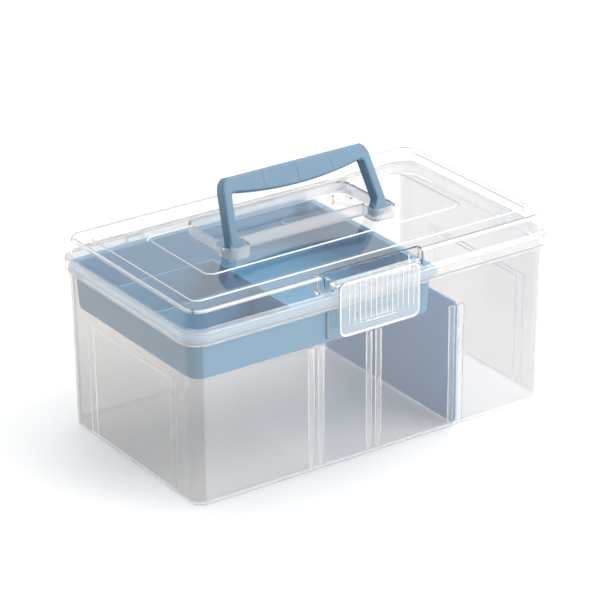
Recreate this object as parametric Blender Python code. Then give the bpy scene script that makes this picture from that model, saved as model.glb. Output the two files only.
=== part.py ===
"""Clear art supply box with a hinged lid, carrying handle, front latch, lift-out tray and divider.

Metres, +Z up. The box stands on z = 0 and its long side runs along X, with the latch at the front (-Y)
and the lid hinges at the back (+Y). The origin is in the middle of the base.
"""
import math

import bmesh
import bpy
from mathutils import Matrix, Vector

MM = 0.001

# ---- driving sizes -------------------------------------------------------------------------------
LENGTH = 330.0 * MM          # over the lid skirt, along X
DEPTH = 187.0 * MM           # over the lid skirt, along Y
LID_TOP = 157.0 * MM         # height of the closed lid above the table
SKIRT_BOTTOM = 131.0 * MM
SKIRT_HEIGHT = 11.0 * MM
WALL = 1.8 * MM              # moulded wall of box, lid and tray
CORNER_RADIUS = 18.0 * MM    # plan corners of the lid skirt
TOUCH_GAP = 0.3 * MM         # between pieces that rest on each other
LID_CLEARANCE = 0.5 * MM     # around the box rim, inside the skirt
TRAY_CLEARANCE = 0.6 * MM    # around the tray flange, inside the box rim

# box body
RIM_WALL = 1.5 * MM
RIM_TOP = SKIRT_BOTTOM + SKIRT_HEIGHT - 2.5 * MM
RIM_FLARE = 1.7 * MM         # how far the rim stands out from the wall below it
LEDGE_Z = RIM_TOP - 6.9 * MM # shelf inside the rim that carries the tray
DRAFT = 1.5 * MM             # how much each wall leans in towards the base
FOOT_FILLET = 4.5 * MM
FLOOR = 2.4 * MM
FLOOR_FILLET = 3.0 * MM
RIB_SINK = 0.4 * MM          # how far slot ribs reach into the floor

# divider slots: pairs of ribs inside the front and back walls
SLOT_CENTRES = (-53.0 * MM, -1.0 * MM, 75.5 * MM)
DIVIDER_SLOT = 2             # the slot that the divider stands in
DIVIDER_THICKNESS = 2.6 * MM
SLOT_CLEARANCE = 0.6 * MM    # on each side of the divider
RIB_WIDTH = 4.8 * MM
RIB_TOP = 102.0 * MM
DIVIDER_TOP = 103.5 * MM
DIVIDER_CORNER = 4.0 * MM
DIVIDER_END_GAP = 0.5 * MM

# tray
TRAY_BOTTOM = 100.0 * MM
TRAY_LENGTH = 214.2 * MM
TRAY_END_GAP = 2.0 * MM      # tray wall to box wall, at the left end
TRAY_SIDE_GAP = 3.4 * MM     # tray wall to box wall, front and back
TRAY_FREE_FLANGE = 4.0 * MM  # flange past the tray wall at the free end
TRAY_FLANGE = 2.0 * MM
TRAY_CORNER = 12.0 * MM
TRAY_FILLET = 2.5 * MM
CELL_LENGTH = 87.0 * MM      # the two small cells at the left end
CELL_WALL = 1.6 * MM
CELL_DROP = 1.4 * MM         # cell walls stop this far below the tray's top

# lid
SHOULDER_FILLET = 2.5 * MM
DOME_INSET = 4.0 * MM        # dome wall in from the skirt, at its foot
DOME_LEAN = 1.3 * MM
DOME_FILLET = 2.5 * MM
SHOULDER_RISE = 1.4 * MM

# handle and its recess in the lid
PIVOT_Y = -1.0 * MM
PIVOT_DROP = 4.2 * MM        # handle axis below the lid's top
HANDLE_THICKNESS = 11.0 * MM
HANDLE_HEIGHT = 52.8 * MM    # from the axis to the top of the grip
HANDLE_FOOT = 72.0 * MM      # half width over the legs, at the axis
HANDLE_LEAN_IN = 0.118       # sideways lean of each leg, per unit of height
LEG_WIDTH = 7.8 * MM
FOOT_WIDTH = 12.8 * MM
FOOT_FLARE = 9.0 * MM
GRIP_END = 11.8 * MM         # grip height where it meets the legs
GRIP_MIDDLE = 17.8 * MM
HANDLE_CORNER = 10.0 * MM
HANDLE_EDGE = 1.6 * MM
HANDLE_REST_LEAN = math.radians(25.0)
HANDLE_PIN = 1.8 * MM
PIN_CLEARANCE = 0.3 * MM
HANDLE_FLOOR_GAP = 0.5 * MM
RECESS_SIDE_GAP = 0.4 * MM
RECESS_WALL = 1.5 * MM
RECESS_FRONT = 8.0 * MM
RECESS_BACK_GAP = 5.0 * MM   # finger room behind the folded grip
RECESS_CORNER = 9.0 * MM
CUP_SIDE_GAP = 4.2 * MM      # outside the leg
CUP_INNER_GAP = 2.5 * MM     # inside the leg
CUP_FRONT_GAP = 1.7 * MM
CUP_CORNER = 4.5 * MM

# lid hinges
HINGE_CENTRES = (-95.0 * MM, 95.0 * MM)
HINGE_RADIUS = 3.6 * MM
HINGE_PIN = 1.8 * MM
HINGE_GAP = 0.3 * MM         # knuckle to skirt
HINGE_DROP = 2.5 * MM        # hinge axis below the skirt's lower edge
KNUCKLE_HALF = 7.0 * MM
LUG_WIDTH = 3.0 * MM
LUG_SIDE_GAP = 0.4 * MM
UNDER_SKIRT = 1.0 * MM       # fittings on the box wall stop this far below the lid skirt
ROUND_PROUD = 0.25 * MM      # round ends of lugs and knuckles stand this far proud of their arms

# front latch
LATCH_CENTRE = -3.5 * MM
LATCH_HALF = 36.0 * MM
LATCH_BOTTOM = 109.0 * MM
LATCH_TOP = LID_TOP - 5.0 * MM
LATCH_PLATE = 1.8 * MM
LATCH_STANDOFF = 2.9 * MM    # plate to lid skirt
LATCH_CORNER = 6.0 * MM
LATCH_AXIS_DROP = 7.5 * MM   # latch axis below the lid's top
LATCH_AXIS_OUT = 1.5 * MM    # latch axis in front of the dome wall's foot
LATCH_BARREL = 2.6 * MM
LATCH_PIN = 1.4 * MM
LATCH_SIDE_GAP = 0.5 * MM
NOTCH_HALF = 45.0 * MM
NOTCH_DEPTH = 7.0 * MM       # into the dome
LATCH_LUG = 3.0 * MM
LATCH_LUG_RADIUS = 3.2 * MM
CATCH_HALF = 17.0 * MM
CATCH_Z = 120.2 * MM
CATCH_HEIGHT = 2.5 * MM
CATCH_OUT = 3.9 * MM
BEAD_HEIGHT = 2.6 * MM
BEAD_DROP = 0.6 * MM         # bead below the catch
GUARD_GAP = 4.0 * MM         # guard rib to latch edge
GUARD_WIDTH = 3.0 * MM
GUARD_OUT = 3.0 * MM
GUARD_BOTTOM = 108.0 * MM

CORNER_STEPS = 5             # facets per rounded plan corner, less one point
FILLET_STEPS = 3
ROUND_SIDES = 24

# ---- sizes that follow ---------------------------------------------------------------------------
HALF_X = LENGTH / 2
HALF_Y = DEPTH / 2
SKIRT_TOP = SKIRT_BOTTOM + SKIRT_HEIGHT
SKIRT_WALL = WALL + 0.1 * MM
BODY_INSET = SKIRT_WALL + LID_CLEARANCE + RIM_FLARE      # body wall in from the skirt face
BODY_X = HALF_X - BODY_INSET
BODY_Y = HALF_Y - BODY_INSET
BODY_RADIUS = CORNER_RADIUS - BODY_INSET
RIM_INNER_X = BODY_X + RIM_FLARE - RIM_WALL
RIM_INNER_Y = BODY_Y + RIM_FLARE - RIM_WALL
SLOT_WIDTH = DIVIDER_THICKNESS + 2 * SLOT_CLEARANCE

TRAY_X_MIN = -(BODY_X - WALL) + TRAY_END_GAP
TRAY_X_MAX = TRAY_X_MIN + TRAY_LENGTH
TRAY_Y = BODY_Y - WALL - TRAY_SIDE_GAP
TRAY_TOP = LEDGE_Z + TOUCH_GAP + TRAY_FLANGE

LID_INNER_TOP = LID_TOP - WALL
SHOULDER_UNDER = RIM_TOP + TOUCH_GAP
DOME_FOOT = SKIRT_TOP + SHOULDER_RISE
DOME_FRONT = HALF_Y - DOME_INSET

PIVOT_Z = LID_TOP - PIVOT_DROP
HANDLE_ROUND = HANDLE_THICKNESS / 2
RECESS_FLOOR = PIVOT_Z - HANDLE_ROUND - HANDLE_FLOOR_GAP
RECESS_HALF = HANDLE_FOOT + RECESS_SIDE_GAP
RECESS_BACK = PIVOT_Y + HANDLE_HEIGHT + RECESS_BACK_GAP
CUP_OUTER = HANDLE_FOOT + CUP_SIDE_GAP
CUP_INNER = HANDLE_FOOT - FOOT_WIDTH - CUP_INNER_GAP
CUP_FRONT = PIVOT_Y - HANDLE_ROUND - CUP_FRONT_GAP
CUP_BACK = RECESS_FRONT + RECESS_WALL

HINGE_Y = HALF_Y + HINGE_GAP + HINGE_RADIUS
HINGE_Z = SKIRT_BOTTOM - HINGE_DROP

LATCH_AXIS_Y = -(DOME_FRONT + LATCH_AXIS_OUT)
LATCH_AXIS_Z = LID_TOP - LATCH_AXIS_DROP
LATCH_BACK = -(HALF_Y + LATCH_STANDOFF)
LATCH_FACE = LATCH_BACK - LATCH_PLATE
NOTCH_BACK = -(DOME_FRONT - NOTCH_DEPTH)


# ---- scene and materials -------------------------------------------------------------------------
def clear_scene():
    """Remove whatever the file already holds."""
    for item in list(bpy.data.objects):
        bpy.data.objects.remove(item, do_unlink=True)


def new_collection(name):
    """A collection linked to the scene."""
    collection = bpy.data.collections.new(name)
    bpy.context.scene.collection.children.link(collection)
    return collection


def plastic(name, colour, roughness, alpha=1.0):
    """A Principled plastic in the given colour."""
    material = bpy.data.materials.new(name)
    material.use_nodes = True
    shader = material.node_tree.nodes["Principled BSDF"]
    shader.inputs["Base Color"].default_value = (*colour, 1.0)
    shader.inputs["Roughness"].default_value = roughness
    shader.inputs["Metallic"].default_value = 0.0
    shader.inputs["Alpha"].default_value = alpha
    return material


# ---- mesh helpers --------------------------------------------------------------------------------
def object_from(bm, name, collection, material=None):
    """Turn a bmesh into an object of the collection, with outward faces."""
    bmesh.ops.recalc_face_normals(bm, faces=bm.faces)
    mesh = bpy.data.meshes.new(name)
    bm.to_mesh(mesh)
    bm.free()
    item = bpy.data.objects.new(name, mesh)
    collection.objects.link(item)
    if material is not None:
        mesh.materials.append(material)
    return item


def shade(item, angle=35.0):
    """Smooth shading with creases kept sharp."""
    item.data.shade_smooth()
    item.data.set_sharp_from_angle(angle=math.radians(angle))


def ring(x_min, x_max, half_y, radius, z):
    """Points round a rounded rectangle at height z, anticlockwise from the +X side."""
    points = []
    right, left, back, front = x_max - radius, x_min + radius, half_y - radius, -half_y + radius
    centres = ((right, back), (left, back), (left, front), (right, front))
    for quarter, (x, y) in enumerate(centres):
        for step in range(CORNER_STEPS + 1):
            angle = (quarter + step / CORNER_STEPS) * math.pi / 2
            points.append(Vector((x + radius * math.cos(angle), y + radius * math.sin(angle), z)))
    return points


def loft(rings, name, collection, material=None):
    """Closed body through rings of equal point count, with flat caps on the first and the last."""
    bm = bmesh.new()
    loops = [[bm.verts.new(point) for point in points] for points in rings]
    for lower, upper in zip(loops, loops[1:]):
        count = len(lower)
        for index in range(count):
            after = (index + 1) % count
            bm.faces.new((lower[index], lower[after], upper[after], upper[index]))
    bm.faces.new(list(reversed(loops[0])))
    bm.faces.new(loops[-1])
    return object_from(bm, name, collection, material)


def box_mesh(bm, low, high):
    """Add a box between two corners to a bmesh and return its vertices."""
    low, high = Vector(low), Vector(high)
    centre = Matrix.Translation((low + high) / 2)
    size = Matrix.Diagonal((*(high - low), 1.0))
    return bmesh.ops.create_cube(bm, size=1.0, matrix=centre @ size)["verts"]


def rod_mesh(bm, start_x, end_x, y, z, radius):
    """Add a cylinder along X to a bmesh."""
    turn = Matrix.Rotation(math.pi / 2, 4, "Y")
    place = Matrix.Translation(((start_x + end_x) / 2, y, z))
    bmesh.ops.create_cone(bm, cap_ends=True, segments=ROUND_SIDES, radius1=radius, radius2=radius,
                          depth=abs(end_x - start_x), matrix=place @ turn)


def bevel_edges_along(bm, axis, width, segments, keep=lambda edge: True):
    """Round the edges of a bmesh that run along an axis (0, 1 or 2)."""
    chosen = []
    for edge in bm.edges:
        run = edge.verts[1].co - edge.verts[0].co
        if abs(run[axis]) > 0.99 * run.length and keep(edge):
            chosen.append(edge)
    bmesh.ops.bevel(bm, geom=chosen, offset=width, segments=segments, profile=0.5, affect="EDGES")


def as_tool(item):
    """Mark an object that only shapes others."""
    item.hide_render = True
    item.display_type = "WIRE"


def combine(item, tool, operation):
    """Add an exact Boolean with a tool object."""
    modifier = item.modifiers.new(f"{operation.lower()} {tool.name}", "BOOLEAN")
    modifier.operation = operation
    modifier.solver = "EXACT"
    modifier.object = tool
    as_tool(tool)


def fillet_steps(radius):
    """(inset, height) pairs of a quarter round that turns from a flat base up into a wall."""
    for step in range(FILLET_STEPS + 1):
        angle = step / FILLET_STEPS * math.pi / 2
        yield radius * (1 - math.sin(angle)), radius * (1 - math.cos(angle))


# ---- box body ------------------------------------------------------------------------------------
def body_ring(inset, z):
    """A plan ring of the box, in from its wall just below the rim."""
    return ring(-(BODY_X - inset), BODY_X - inset, BODY_Y - inset, BODY_RADIUS - inset, z)


def wall_inset(z):
    """How far the outer wall leans in at height z."""
    return DRAFT * (1 - z / (SKIRT_BOTTOM - FOOT_FILLET))


def add_slot_ribs(tools):
    """Pairs of upright ribs that form the divider slots, leaning with the wall."""
    bm = bmesh.new()
    bottom, top = FLOOR - RIB_SINK, RIB_TOP
    for centre in SLOT_CENTRES:
        for side in (-1, 1):
            near = centre + side * SLOT_WIDTH / 2
            far = near + side * RIB_WIDTH
            for face in (-1, 1):
                verts = box_mesh(bm, (min(near, far), 0.0, bottom), (max(near, far), 1.0, top))
                for vert in verts:
                    in_wall = BODY_Y - wall_inset(vert.co.z) - 0.7 * WALL
                    vert.co.y = face * (in_wall if vert.co.y > 0.5 else TRAY_Y + TOUCH_GAP)
    return object_from(bm, "slot_rib_blocks", tools)


def add_body_fittings(tools):
    """Hinge lugs at the back; the catch and two guard ribs at the front."""
    blocks = bmesh.new()
    in_wall = BODY_Y - WALL / 2
    for centre in HINGE_CENTRES:
        for side in (-1, 1):
            inner = centre + side * (KNUCKLE_HALF + LUG_SIDE_GAP)
            outer = inner + side * LUG_WIDTH
            low_x, high_x = min(inner, outer), max(inner, outer)
            box_mesh(blocks, (low_x + ROUND_PROUD, in_wall, HINGE_Z - 2 * HINGE_RADIUS),
                     (high_x - ROUND_PROUD, HINGE_Y, SKIRT_BOTTOM - UNDER_SKIRT))
    catch_low, catch_high = CATCH_Z - CATCH_HEIGHT / 2, CATCH_Z + CATCH_HEIGHT / 2
    box_mesh(blocks, (LATCH_CENTRE - CATCH_HALF, -(BODY_Y + CATCH_OUT), catch_low),
             (LATCH_CENTRE + CATCH_HALF, -in_wall, catch_high))
    for side in (-1, 1):
        inner = LATCH_CENTRE + side * (LATCH_HALF + GUARD_GAP)
        outer = inner + side * GUARD_WIDTH
        box_mesh(blocks, (min(inner, outer), -(BODY_Y + GUARD_OUT), GUARD_BOTTOM),
                 (max(inner, outer), -in_wall, SKIRT_BOTTOM - UNDER_SKIRT))
    fittings = object_from(blocks, "body_blocks", tools)

    rounds = bmesh.new()
    holes = bmesh.new()
    for centre in HINGE_CENTRES:
        for side in (-1, 1):
            inner = centre + side * (KNUCKLE_HALF + LUG_SIDE_GAP)
            outer = inner + side * LUG_WIDTH
            rod_mesh(rounds, inner, outer, HINGE_Y, HINGE_Z, HINGE_RADIUS)
            rod_mesh(holes, inner - side * MM, outer + side * MM, HINGE_Y, HINGE_Z, HINGE_PIN + PIN_CLEARANCE)
    return (fittings, object_from(rounds, "lug_rounds", tools), object_from(holes, "lug_holes", tools))


def make_box_body(parts, tools, material):
    """Open box: leaning walls, flared rim with a shelf for the tray, slot ribs and fittings."""
    rings = [body_ring(DRAFT + inset, height) for inset, height in fillet_steps(FOOT_FILLET)]
    rings += [
        body_ring(0.0, SKIRT_BOTTOM - 0.4 * MM),
        body_ring(-RIM_FLARE, LEDGE_Z - 0.4 * MM),
        body_ring(-RIM_FLARE, RIM_TOP),
        body_ring(-RIM_FLARE + RIM_WALL, RIM_TOP),
        body_ring(-RIM_FLARE + RIM_WALL, LEDGE_Z),
        body_ring(WALL, LEDGE_Z),
    ]
    inner = [body_ring(DRAFT + WALL + inset, FLOOR + height) for inset, height in fillet_steps(FLOOR_FILLET)]
    rings += reversed(inner)
    body = loft(rings, "box_body", parts, material)
    combine(body, add_slot_ribs(tools), "UNION")
    blocks, rounds, holes = add_body_fittings(tools)
    combine(body, blocks, "UNION")
    combine(body, rounds, "UNION")
    combine(body, holes, "DIFFERENCE")
    return body


# ---- lid -----------------------------------------------------------------------------------------
def lid_ring(inset, z):
    """A plan ring of the lid, in from its skirt face."""
    return ring(-(HALF_X - inset), HALF_X - inset, HALF_Y - inset, CORNER_RADIUS - inset, z)


def lid_rings():
    """From the middle of the underside, down inside the skirt, and up over the dome."""
    dome_top = DOME_INSET + DOME_LEAN
    inner = [lid_ring(dome_top + WALL + inset, LID_INNER_TOP - height)
             for inset, height in fillet_steps(DOME_FILLET / 2)]
    skirt = [
        lid_ring(DOME_INSET + WALL, SHOULDER_UNDER),
        lid_ring(SKIRT_WALL, SHOULDER_UNDER),
        lid_ring(SKIRT_WALL, SKIRT_BOTTOM),
        lid_ring(0.5 * MM, SKIRT_BOTTOM),
        lid_ring(0.0, SKIRT_BOTTOM + 0.6 * MM),
    ]
    shoulder = [lid_ring(inset, SKIRT_TOP - height) for inset, height in fillet_steps(SHOULDER_FILLET)]
    dome = [lid_ring(dome_top + inset, LID_TOP - height) for inset, height in fillet_steps(DOME_FILLET)]
    return inner + skirt + list(reversed(shoulder)) + [lid_ring(DOME_INSET, DOME_FOOT)] + list(reversed(dome))


def rounded_block(tools, name, low, high, radius, back_only):
    """A box with rounded upright edges, or with only the two at the back rounded."""
    bm = bmesh.new()
    box_mesh(bm, low, high)
    middle = (low[1] + high[1]) / 2

    def rounded(edge):
        return not back_only or edge.verts[0].co.y > middle

    bevel_edges_along(bm, 2, radius, 4, rounded)
    return object_from(bm, name, tools)


def add_handle_recess(lid, tools):
    """A pan sunk in the lid that the handle folds into, with a cup for each leg and pin holes."""
    over = LID_TOP + 3.0 * MM
    under = RECESS_FLOOR - RECESS_WALL
    joined = LID_TOP - WALL / 2
    spaces = [("recess", -RECESS_HALF, RECESS_HALF, RECESS_FRONT, RECESS_BACK, RECESS_CORNER, True)]
    for name, side in (("cup_left", -1), ("cup_right", 1)):
        low, high = sorted((side * CUP_INNER, side * CUP_OUTER))
        spaces.append((name, low, high, CUP_FRONT, CUP_BACK, CUP_CORNER, False))
    for name, low_x, high_x, low_y, high_y, radius, back_only in spaces:
        shell = rounded_block(tools, f"{name}_shell", (low_x - RECESS_WALL, low_y - RECESS_WALL, under),
                              (high_x + RECESS_WALL, high_y + RECESS_WALL, joined),
                              radius + RECESS_WALL, back_only)
        combine(lid, shell, "UNION")
    for name, low_x, high_x, low_y, high_y, radius, back_only in spaces:
        space = rounded_block(tools, f"{name}_space", (low_x, low_y, RECESS_FLOOR),
                              (high_x, high_y, over), radius, back_only)
        combine(lid, space, "DIFFERENCE")
    holes = bmesh.new()
    for side in (-1, 1):
        rod_mesh(holes, side * (CUP_OUTER - MM), side * (CUP_OUTER + RECESS_WALL + MM), PIVOT_Y, PIVOT_Z,
                 HANDLE_PIN + PIN_CLEARANCE)
    combine(lid, object_from(holes, "handle_pin_holes", tools), "DIFFERENCE")


def add_latch_notch(lid, tools):
    """A notch in the front of the dome, with two lugs that hold the latch pins."""
    low_x, high_x = LATCH_CENTRE - NOTCH_HALF, LATCH_CENTRE + NOTCH_HALF
    filler = bmesh.new()
    box_mesh(filler, (low_x - WALL, -(DOME_FRONT - WALL / 2 - DOME_LEAN), DOME_FOOT - WALL),
             (high_x + WALL, NOTCH_BACK + WALL, LID_TOP - WALL / 2))
    combine(lid, object_from(filler, "notch_filler", tools), "UNION")
    space = bmesh.new()
    box_mesh(space, (low_x, -HALF_Y - 10.0 * MM, DOME_FOOT), (high_x, NOTCH_BACK, LID_TOP + 3.0 * MM))
    combine(lid, object_from(space, "notch_space", tools), "DIFFERENCE")
    lugs, rounds, holes = bmesh.new(), bmesh.new(), bmesh.new()
    for side in (-1, 1):
        inner = LATCH_CENTRE + side * (LATCH_HALF + LATCH_SIDE_GAP)
        outer = inner + side * LATCH_LUG
        low_lug, high_lug = min(inner, outer) + ROUND_PROUD, max(inner, outer) - ROUND_PROUD
        box_mesh(lugs, (low_lug, LATCH_AXIS_Y, DOME_FOOT - WALL / 2),
                 (high_lug, NOTCH_BACK + WALL / 2, LATCH_AXIS_Z + LATCH_LUG_RADIUS - ROUND_PROUD))
        rod_mesh(rounds, inner, outer, LATCH_AXIS_Y, LATCH_AXIS_Z, LATCH_LUG_RADIUS)
        rod_mesh(holes, inner - side * MM, outer + side * MM, LATCH_AXIS_Y, LATCH_AXIS_Z,
                 LATCH_PIN + PIN_CLEARANCE)
    combine(lid, object_from(lugs, "latch_lugs", tools), "UNION")
    combine(lid, object_from(rounds, "latch_lug_rounds", tools), "UNION")
    combine(lid, object_from(holes, "latch_lug_holes", tools), "DIFFERENCE")


def add_lid_knuckles(lid, tools):
    """Two hinge knuckles behind the skirt, each with an arm and stub pins."""
    arms, knuckles, pins = bmesh.new(), bmesh.new(), bmesh.new()
    for centre in HINGE_CENTRES:
        low_x, high_x = centre - KNUCKLE_HALF, centre + KNUCKLE_HALF
        box_mesh(arms, (low_x + ROUND_PROUD, HALF_Y - SKIRT_WALL / 2, HINGE_Z + 1.0 * MM),
                 (high_x - ROUND_PROUD, HINGE_Y + 1.0 * MM, SKIRT_TOP - 4.0 * MM))
        rod_mesh(knuckles, low_x, high_x, HINGE_Y, HINGE_Z, HINGE_RADIUS)
        reach = KNUCKLE_HALF + LUG_SIDE_GAP + LUG_WIDTH
        rod_mesh(pins, centre - reach, centre + reach, HINGE_Y, HINGE_Z, HINGE_PIN)
    combine(lid, object_from(arms, "hinge_arms", tools), "UNION")
    combine(lid, object_from(knuckles, "hinge_knuckles", tools), "UNION")
    combine(lid, object_from(pins, "hinge_pins", tools), "UNION")


def make_lid(parts, tools, material):
    """Domed lid with its origin on the hinge axis."""
    lid = loft(lid_rings(), "lid", parts, material)
    add_handle_recess(lid, tools)
    add_latch_notch(lid, tools)
    add_lid_knuckles(lid, tools)
    axis = Vector((0.0, HINGE_Y, HINGE_Z))
    lid.data.transform(Matrix.Translation(-axis))
    lid.location = axis
    return lid


# ---- handle --------------------------------------------------------------------------------------
def handle_half_outline():
    """Right half of the handle face, from the top middle round to the grip's lower middle."""
    def outer(height):
        return HANDLE_FOOT - HANDLE_LEAN_IN * height

    points = [(0.0, HANDLE_HEIGHT)]
    corner_z = HANDLE_HEIGHT - HANDLE_CORNER
    corner_x = outer(corner_z) - HANDLE_CORNER
    for step in range(6):
        angle = math.pi / 2 * (1 - step / 5)
        points.append((corner_x + HANDLE_CORNER * math.cos(angle), corner_z + HANDLE_CORNER * math.sin(angle)))
    points.append((outer(0.0), 0.0))
    points.append((outer(0.0) - FOOT_WIDTH, 0.0))
    points.append((outer(FOOT_FLARE / 4) - FOOT_WIDTH, FOOT_FLARE / 4))
    points.append((outer(FOOT_FLARE) - LEG_WIDTH, FOOT_FLARE))
    grip_low = HANDLE_HEIGHT - GRIP_END
    inner_x = outer(grip_low) - LEG_WIDTH
    points.append((inner_x, grip_low - 2.0 * MM))
    steps = 8
    for step in range(steps + 1):
        share = 1 - step / steps
        sag = (GRIP_MIDDLE - GRIP_END) * (1 - share * share)
        points.append(((inner_x - 2.0 * MM) * share, grip_low - sag))
    return points


def mesh_from_curve(curve_object, name, collection):
    """A welded, closed mesh object in place of a curve object."""
    bpy.context.view_layer.update()
    evaluated = curve_object.evaluated_get(bpy.context.evaluated_depsgraph_get())
    mesh = bpy.data.meshes.new_from_object(evaluated)
    bm = bmesh.new()
    bm.from_mesh(mesh)
    bmesh.ops.remove_doubles(bm, verts=bm.verts, dist=0.01 * MM)
    bm.transform(curve_object.matrix_world)
    bpy.data.objects.remove(curve_object, do_unlink=True)
    bpy.data.meshes.remove(mesh)
    return object_from(bm, name, collection)


def make_handle(parts, tools, material):
    """U-shaped handle with round feet and stub pins, leaning back at rest, origin on its axis."""
    half = handle_half_outline()
    outline = half + [(-x, z) for x, z in reversed(half[1:-1])]
    curve = bpy.data.curves.new("handle_outline", "CURVE")
    curve.dimensions = "2D"
    curve.fill_mode = "BOTH"
    curve.offset = -HANDLE_EDGE
    curve.bevel_depth = HANDLE_EDGE
    curve.bevel_resolution = 1
    curve.extrude = HANDLE_THICKNESS / 2 - HANDLE_EDGE
    spline = curve.splines.new("POLY")
    spline.points.add(len(outline) - 1)
    for point, (x, z) in zip(spline.points, outline):
        point.co = (x, z, 0.0, 1.0)
    spline.use_cyclic_u = True
    outline_object = bpy.data.objects.new("handle_outline", curve)
    tools.objects.link(outline_object)
    outline_object.rotation_euler = (math.pi / 2, 0.0, 0.0)
    handle = mesh_from_curve(outline_object, "handle", parts)
    handle.data.materials.append(material)
    feet, pins = bmesh.new(), bmesh.new()
    for side in (-1, 1):
        rod_mesh(feet, side * (HANDLE_FOOT - FOOT_WIDTH), side * HANDLE_FOOT, 0.0, 0.0, HANDLE_ROUND)
        rod_mesh(pins, side * (HANDLE_FOOT - 2.0 * MM), side * (CUP_OUTER + RECESS_WALL), 0.0, 0.0,
                 HANDLE_PIN)
    for mesh, name in ((feet, "handle_feet"), (pins, "handle_pins")):
        tool = object_from(mesh, name, tools)
        tool.parent = handle
        combine(handle, tool, "UNION")
    handle.location = (0.0, PIVOT_Y, PIVOT_Z)
    handle.rotation_euler = (-HANDLE_REST_LEAN, 0.0, 0.0)
    return handle


# ---- latch ---------------------------------------------------------------------------------------
def make_latch(parts, tools, material):
    """Plate latch that hangs from its barrel, with a bead that sits under the catch."""
    low_x, high_x = LATCH_CENTRE - LATCH_HALF, LATCH_CENTRE + LATCH_HALF
    plate = bmesh.new()
    box_mesh(plate, (low_x, LATCH_FACE, LATCH_BOTTOM), (high_x, LATCH_BACK, LATCH_TOP))
    bevel_edges_along(plate, 1, LATCH_CORNER, 4)
    latch = object_from(plate, "front_latch", parts, material)
    blocks = bmesh.new()
    side_inset = LATCH_CORNER
    box_mesh(blocks, (low_x + side_inset, LATCH_FACE + LATCH_PLATE / 2, LATCH_AXIS_Z - 1.3 * MM),
             (high_x - side_inset, LATCH_AXIS_Y, LATCH_AXIS_Z + 1.7 * MM))
    bead_top = CATCH_Z - CATCH_HEIGHT / 2 - BEAD_DROP
    box_mesh(blocks, (LATCH_CENTRE - CATCH_HALF, LATCH_BACK - LATCH_PLATE / 2, bead_top - BEAD_HEIGHT),
             (LATCH_CENTRE + CATCH_HALF, -(BODY_Y + CATCH_OUT + TOUCH_GAP), bead_top))
    barrel, pins = bmesh.new(), bmesh.new()
    rod_mesh(barrel, low_x, high_x, LATCH_AXIS_Y, LATCH_AXIS_Z, LATCH_BARREL)
    reach = LATCH_SIDE_GAP + LATCH_LUG
    rod_mesh(pins, low_x - reach, high_x + reach, LATCH_AXIS_Y, LATCH_AXIS_Z, LATCH_PIN)
    for mesh, name in ((blocks, "latch_blocks"), (barrel, "latch_barrel"), (pins, "latch_pins")):
        combine(latch, object_from(mesh, name, tools), "UNION")
    axis = Vector((LATCH_CENTRE, LATCH_AXIS_Y, LATCH_AXIS_Z))
    latch.data.transform(Matrix.Translation(-axis))
    latch.location = axis
    return latch


# ---- tray and divider ----------------------------------------------------------------------------
def tray_ring(inset, z):
    """A plan ring of the tray, in from its wall just below the flange."""
    return ring(TRAY_X_MIN + inset, TRAY_X_MAX - inset, TRAY_Y - inset, TRAY_CORNER - inset, z)


def make_tray(parts, tools, material):
    """Lift-out tray that hangs by its flange, with two small cells at the left end."""
    flange_low = LEDGE_Z + TOUCH_GAP
    flange = (-(RIM_INNER_X - TRAY_CLEARANCE), TRAY_X_MAX + TRAY_FREE_FLANGE, RIM_INNER_Y - TRAY_CLEARANCE,
              BODY_RADIUS + RIM_FLARE - RIM_WALL - TRAY_CLEARANCE)
    rings = [tray_ring(DRAFT + inset, TRAY_BOTTOM + height) for inset, height in fillet_steps(TRAY_FILLET)]
    rings += [tray_ring(0.0, flange_low), ring(*flange, flange_low)]
    rings += [ring(*flange, TRAY_TOP), tray_ring(WALL, TRAY_TOP)]
    floor_top = TRAY_BOTTOM + WALL
    inner = [tray_ring(DRAFT + WALL + inset, floor_top + height) for inset, height in fillet_steps(TRAY_FILLET)]
    rings += reversed(inner)
    tray = loft(rings, "tray", parts, material)

    wall_top = TRAY_TOP - CELL_DROP
    cell_x = TRAY_X_MIN + WALL + CELL_LENGTH
    cell_y = (TRAY_Y - WALL) / 3
    low_y = -(TRAY_Y - DRAFT - WALL / 2)
    low_x = TRAY_X_MIN + DRAFT + WALL / 2
    cross = bmesh.new()
    box_mesh(cross, (cell_x, low_y, floor_top - WALL / 2), (cell_x + CELL_WALL, cell_y + CELL_WALL / 2, wall_top))
    combine(tray, object_from(cross, "cell_end_wall", tools), "UNION")
    along = bmesh.new()
    for y in (-cell_y, cell_y):
        box_mesh(along, (low_x, y - CELL_WALL / 2, floor_top - WALL / 2),
                 (cell_x + CELL_WALL / 2, y + CELL_WALL / 2, wall_top))
    combine(tray, object_from(along, "cell_side_walls", tools), "UNION")
    return tray


def make_divider(parts, material):
    """Flat divider that stands in one pair of slots."""
    centre = SLOT_CENTRES[DIVIDER_SLOT]
    half_y = BODY_Y - DRAFT - WALL - DIVIDER_END_GAP
    bm = bmesh.new()
    box_mesh(bm, (centre - DIVIDER_THICKNESS / 2, -half_y, FLOOR + TOUCH_GAP),
             (centre + DIVIDER_THICKNESS / 2, half_y, DIVIDER_TOP))
    bevel_edges_along(bm, 0, DIVIDER_CORNER, 3)
    return object_from(bm, "divider", parts, material)


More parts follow.
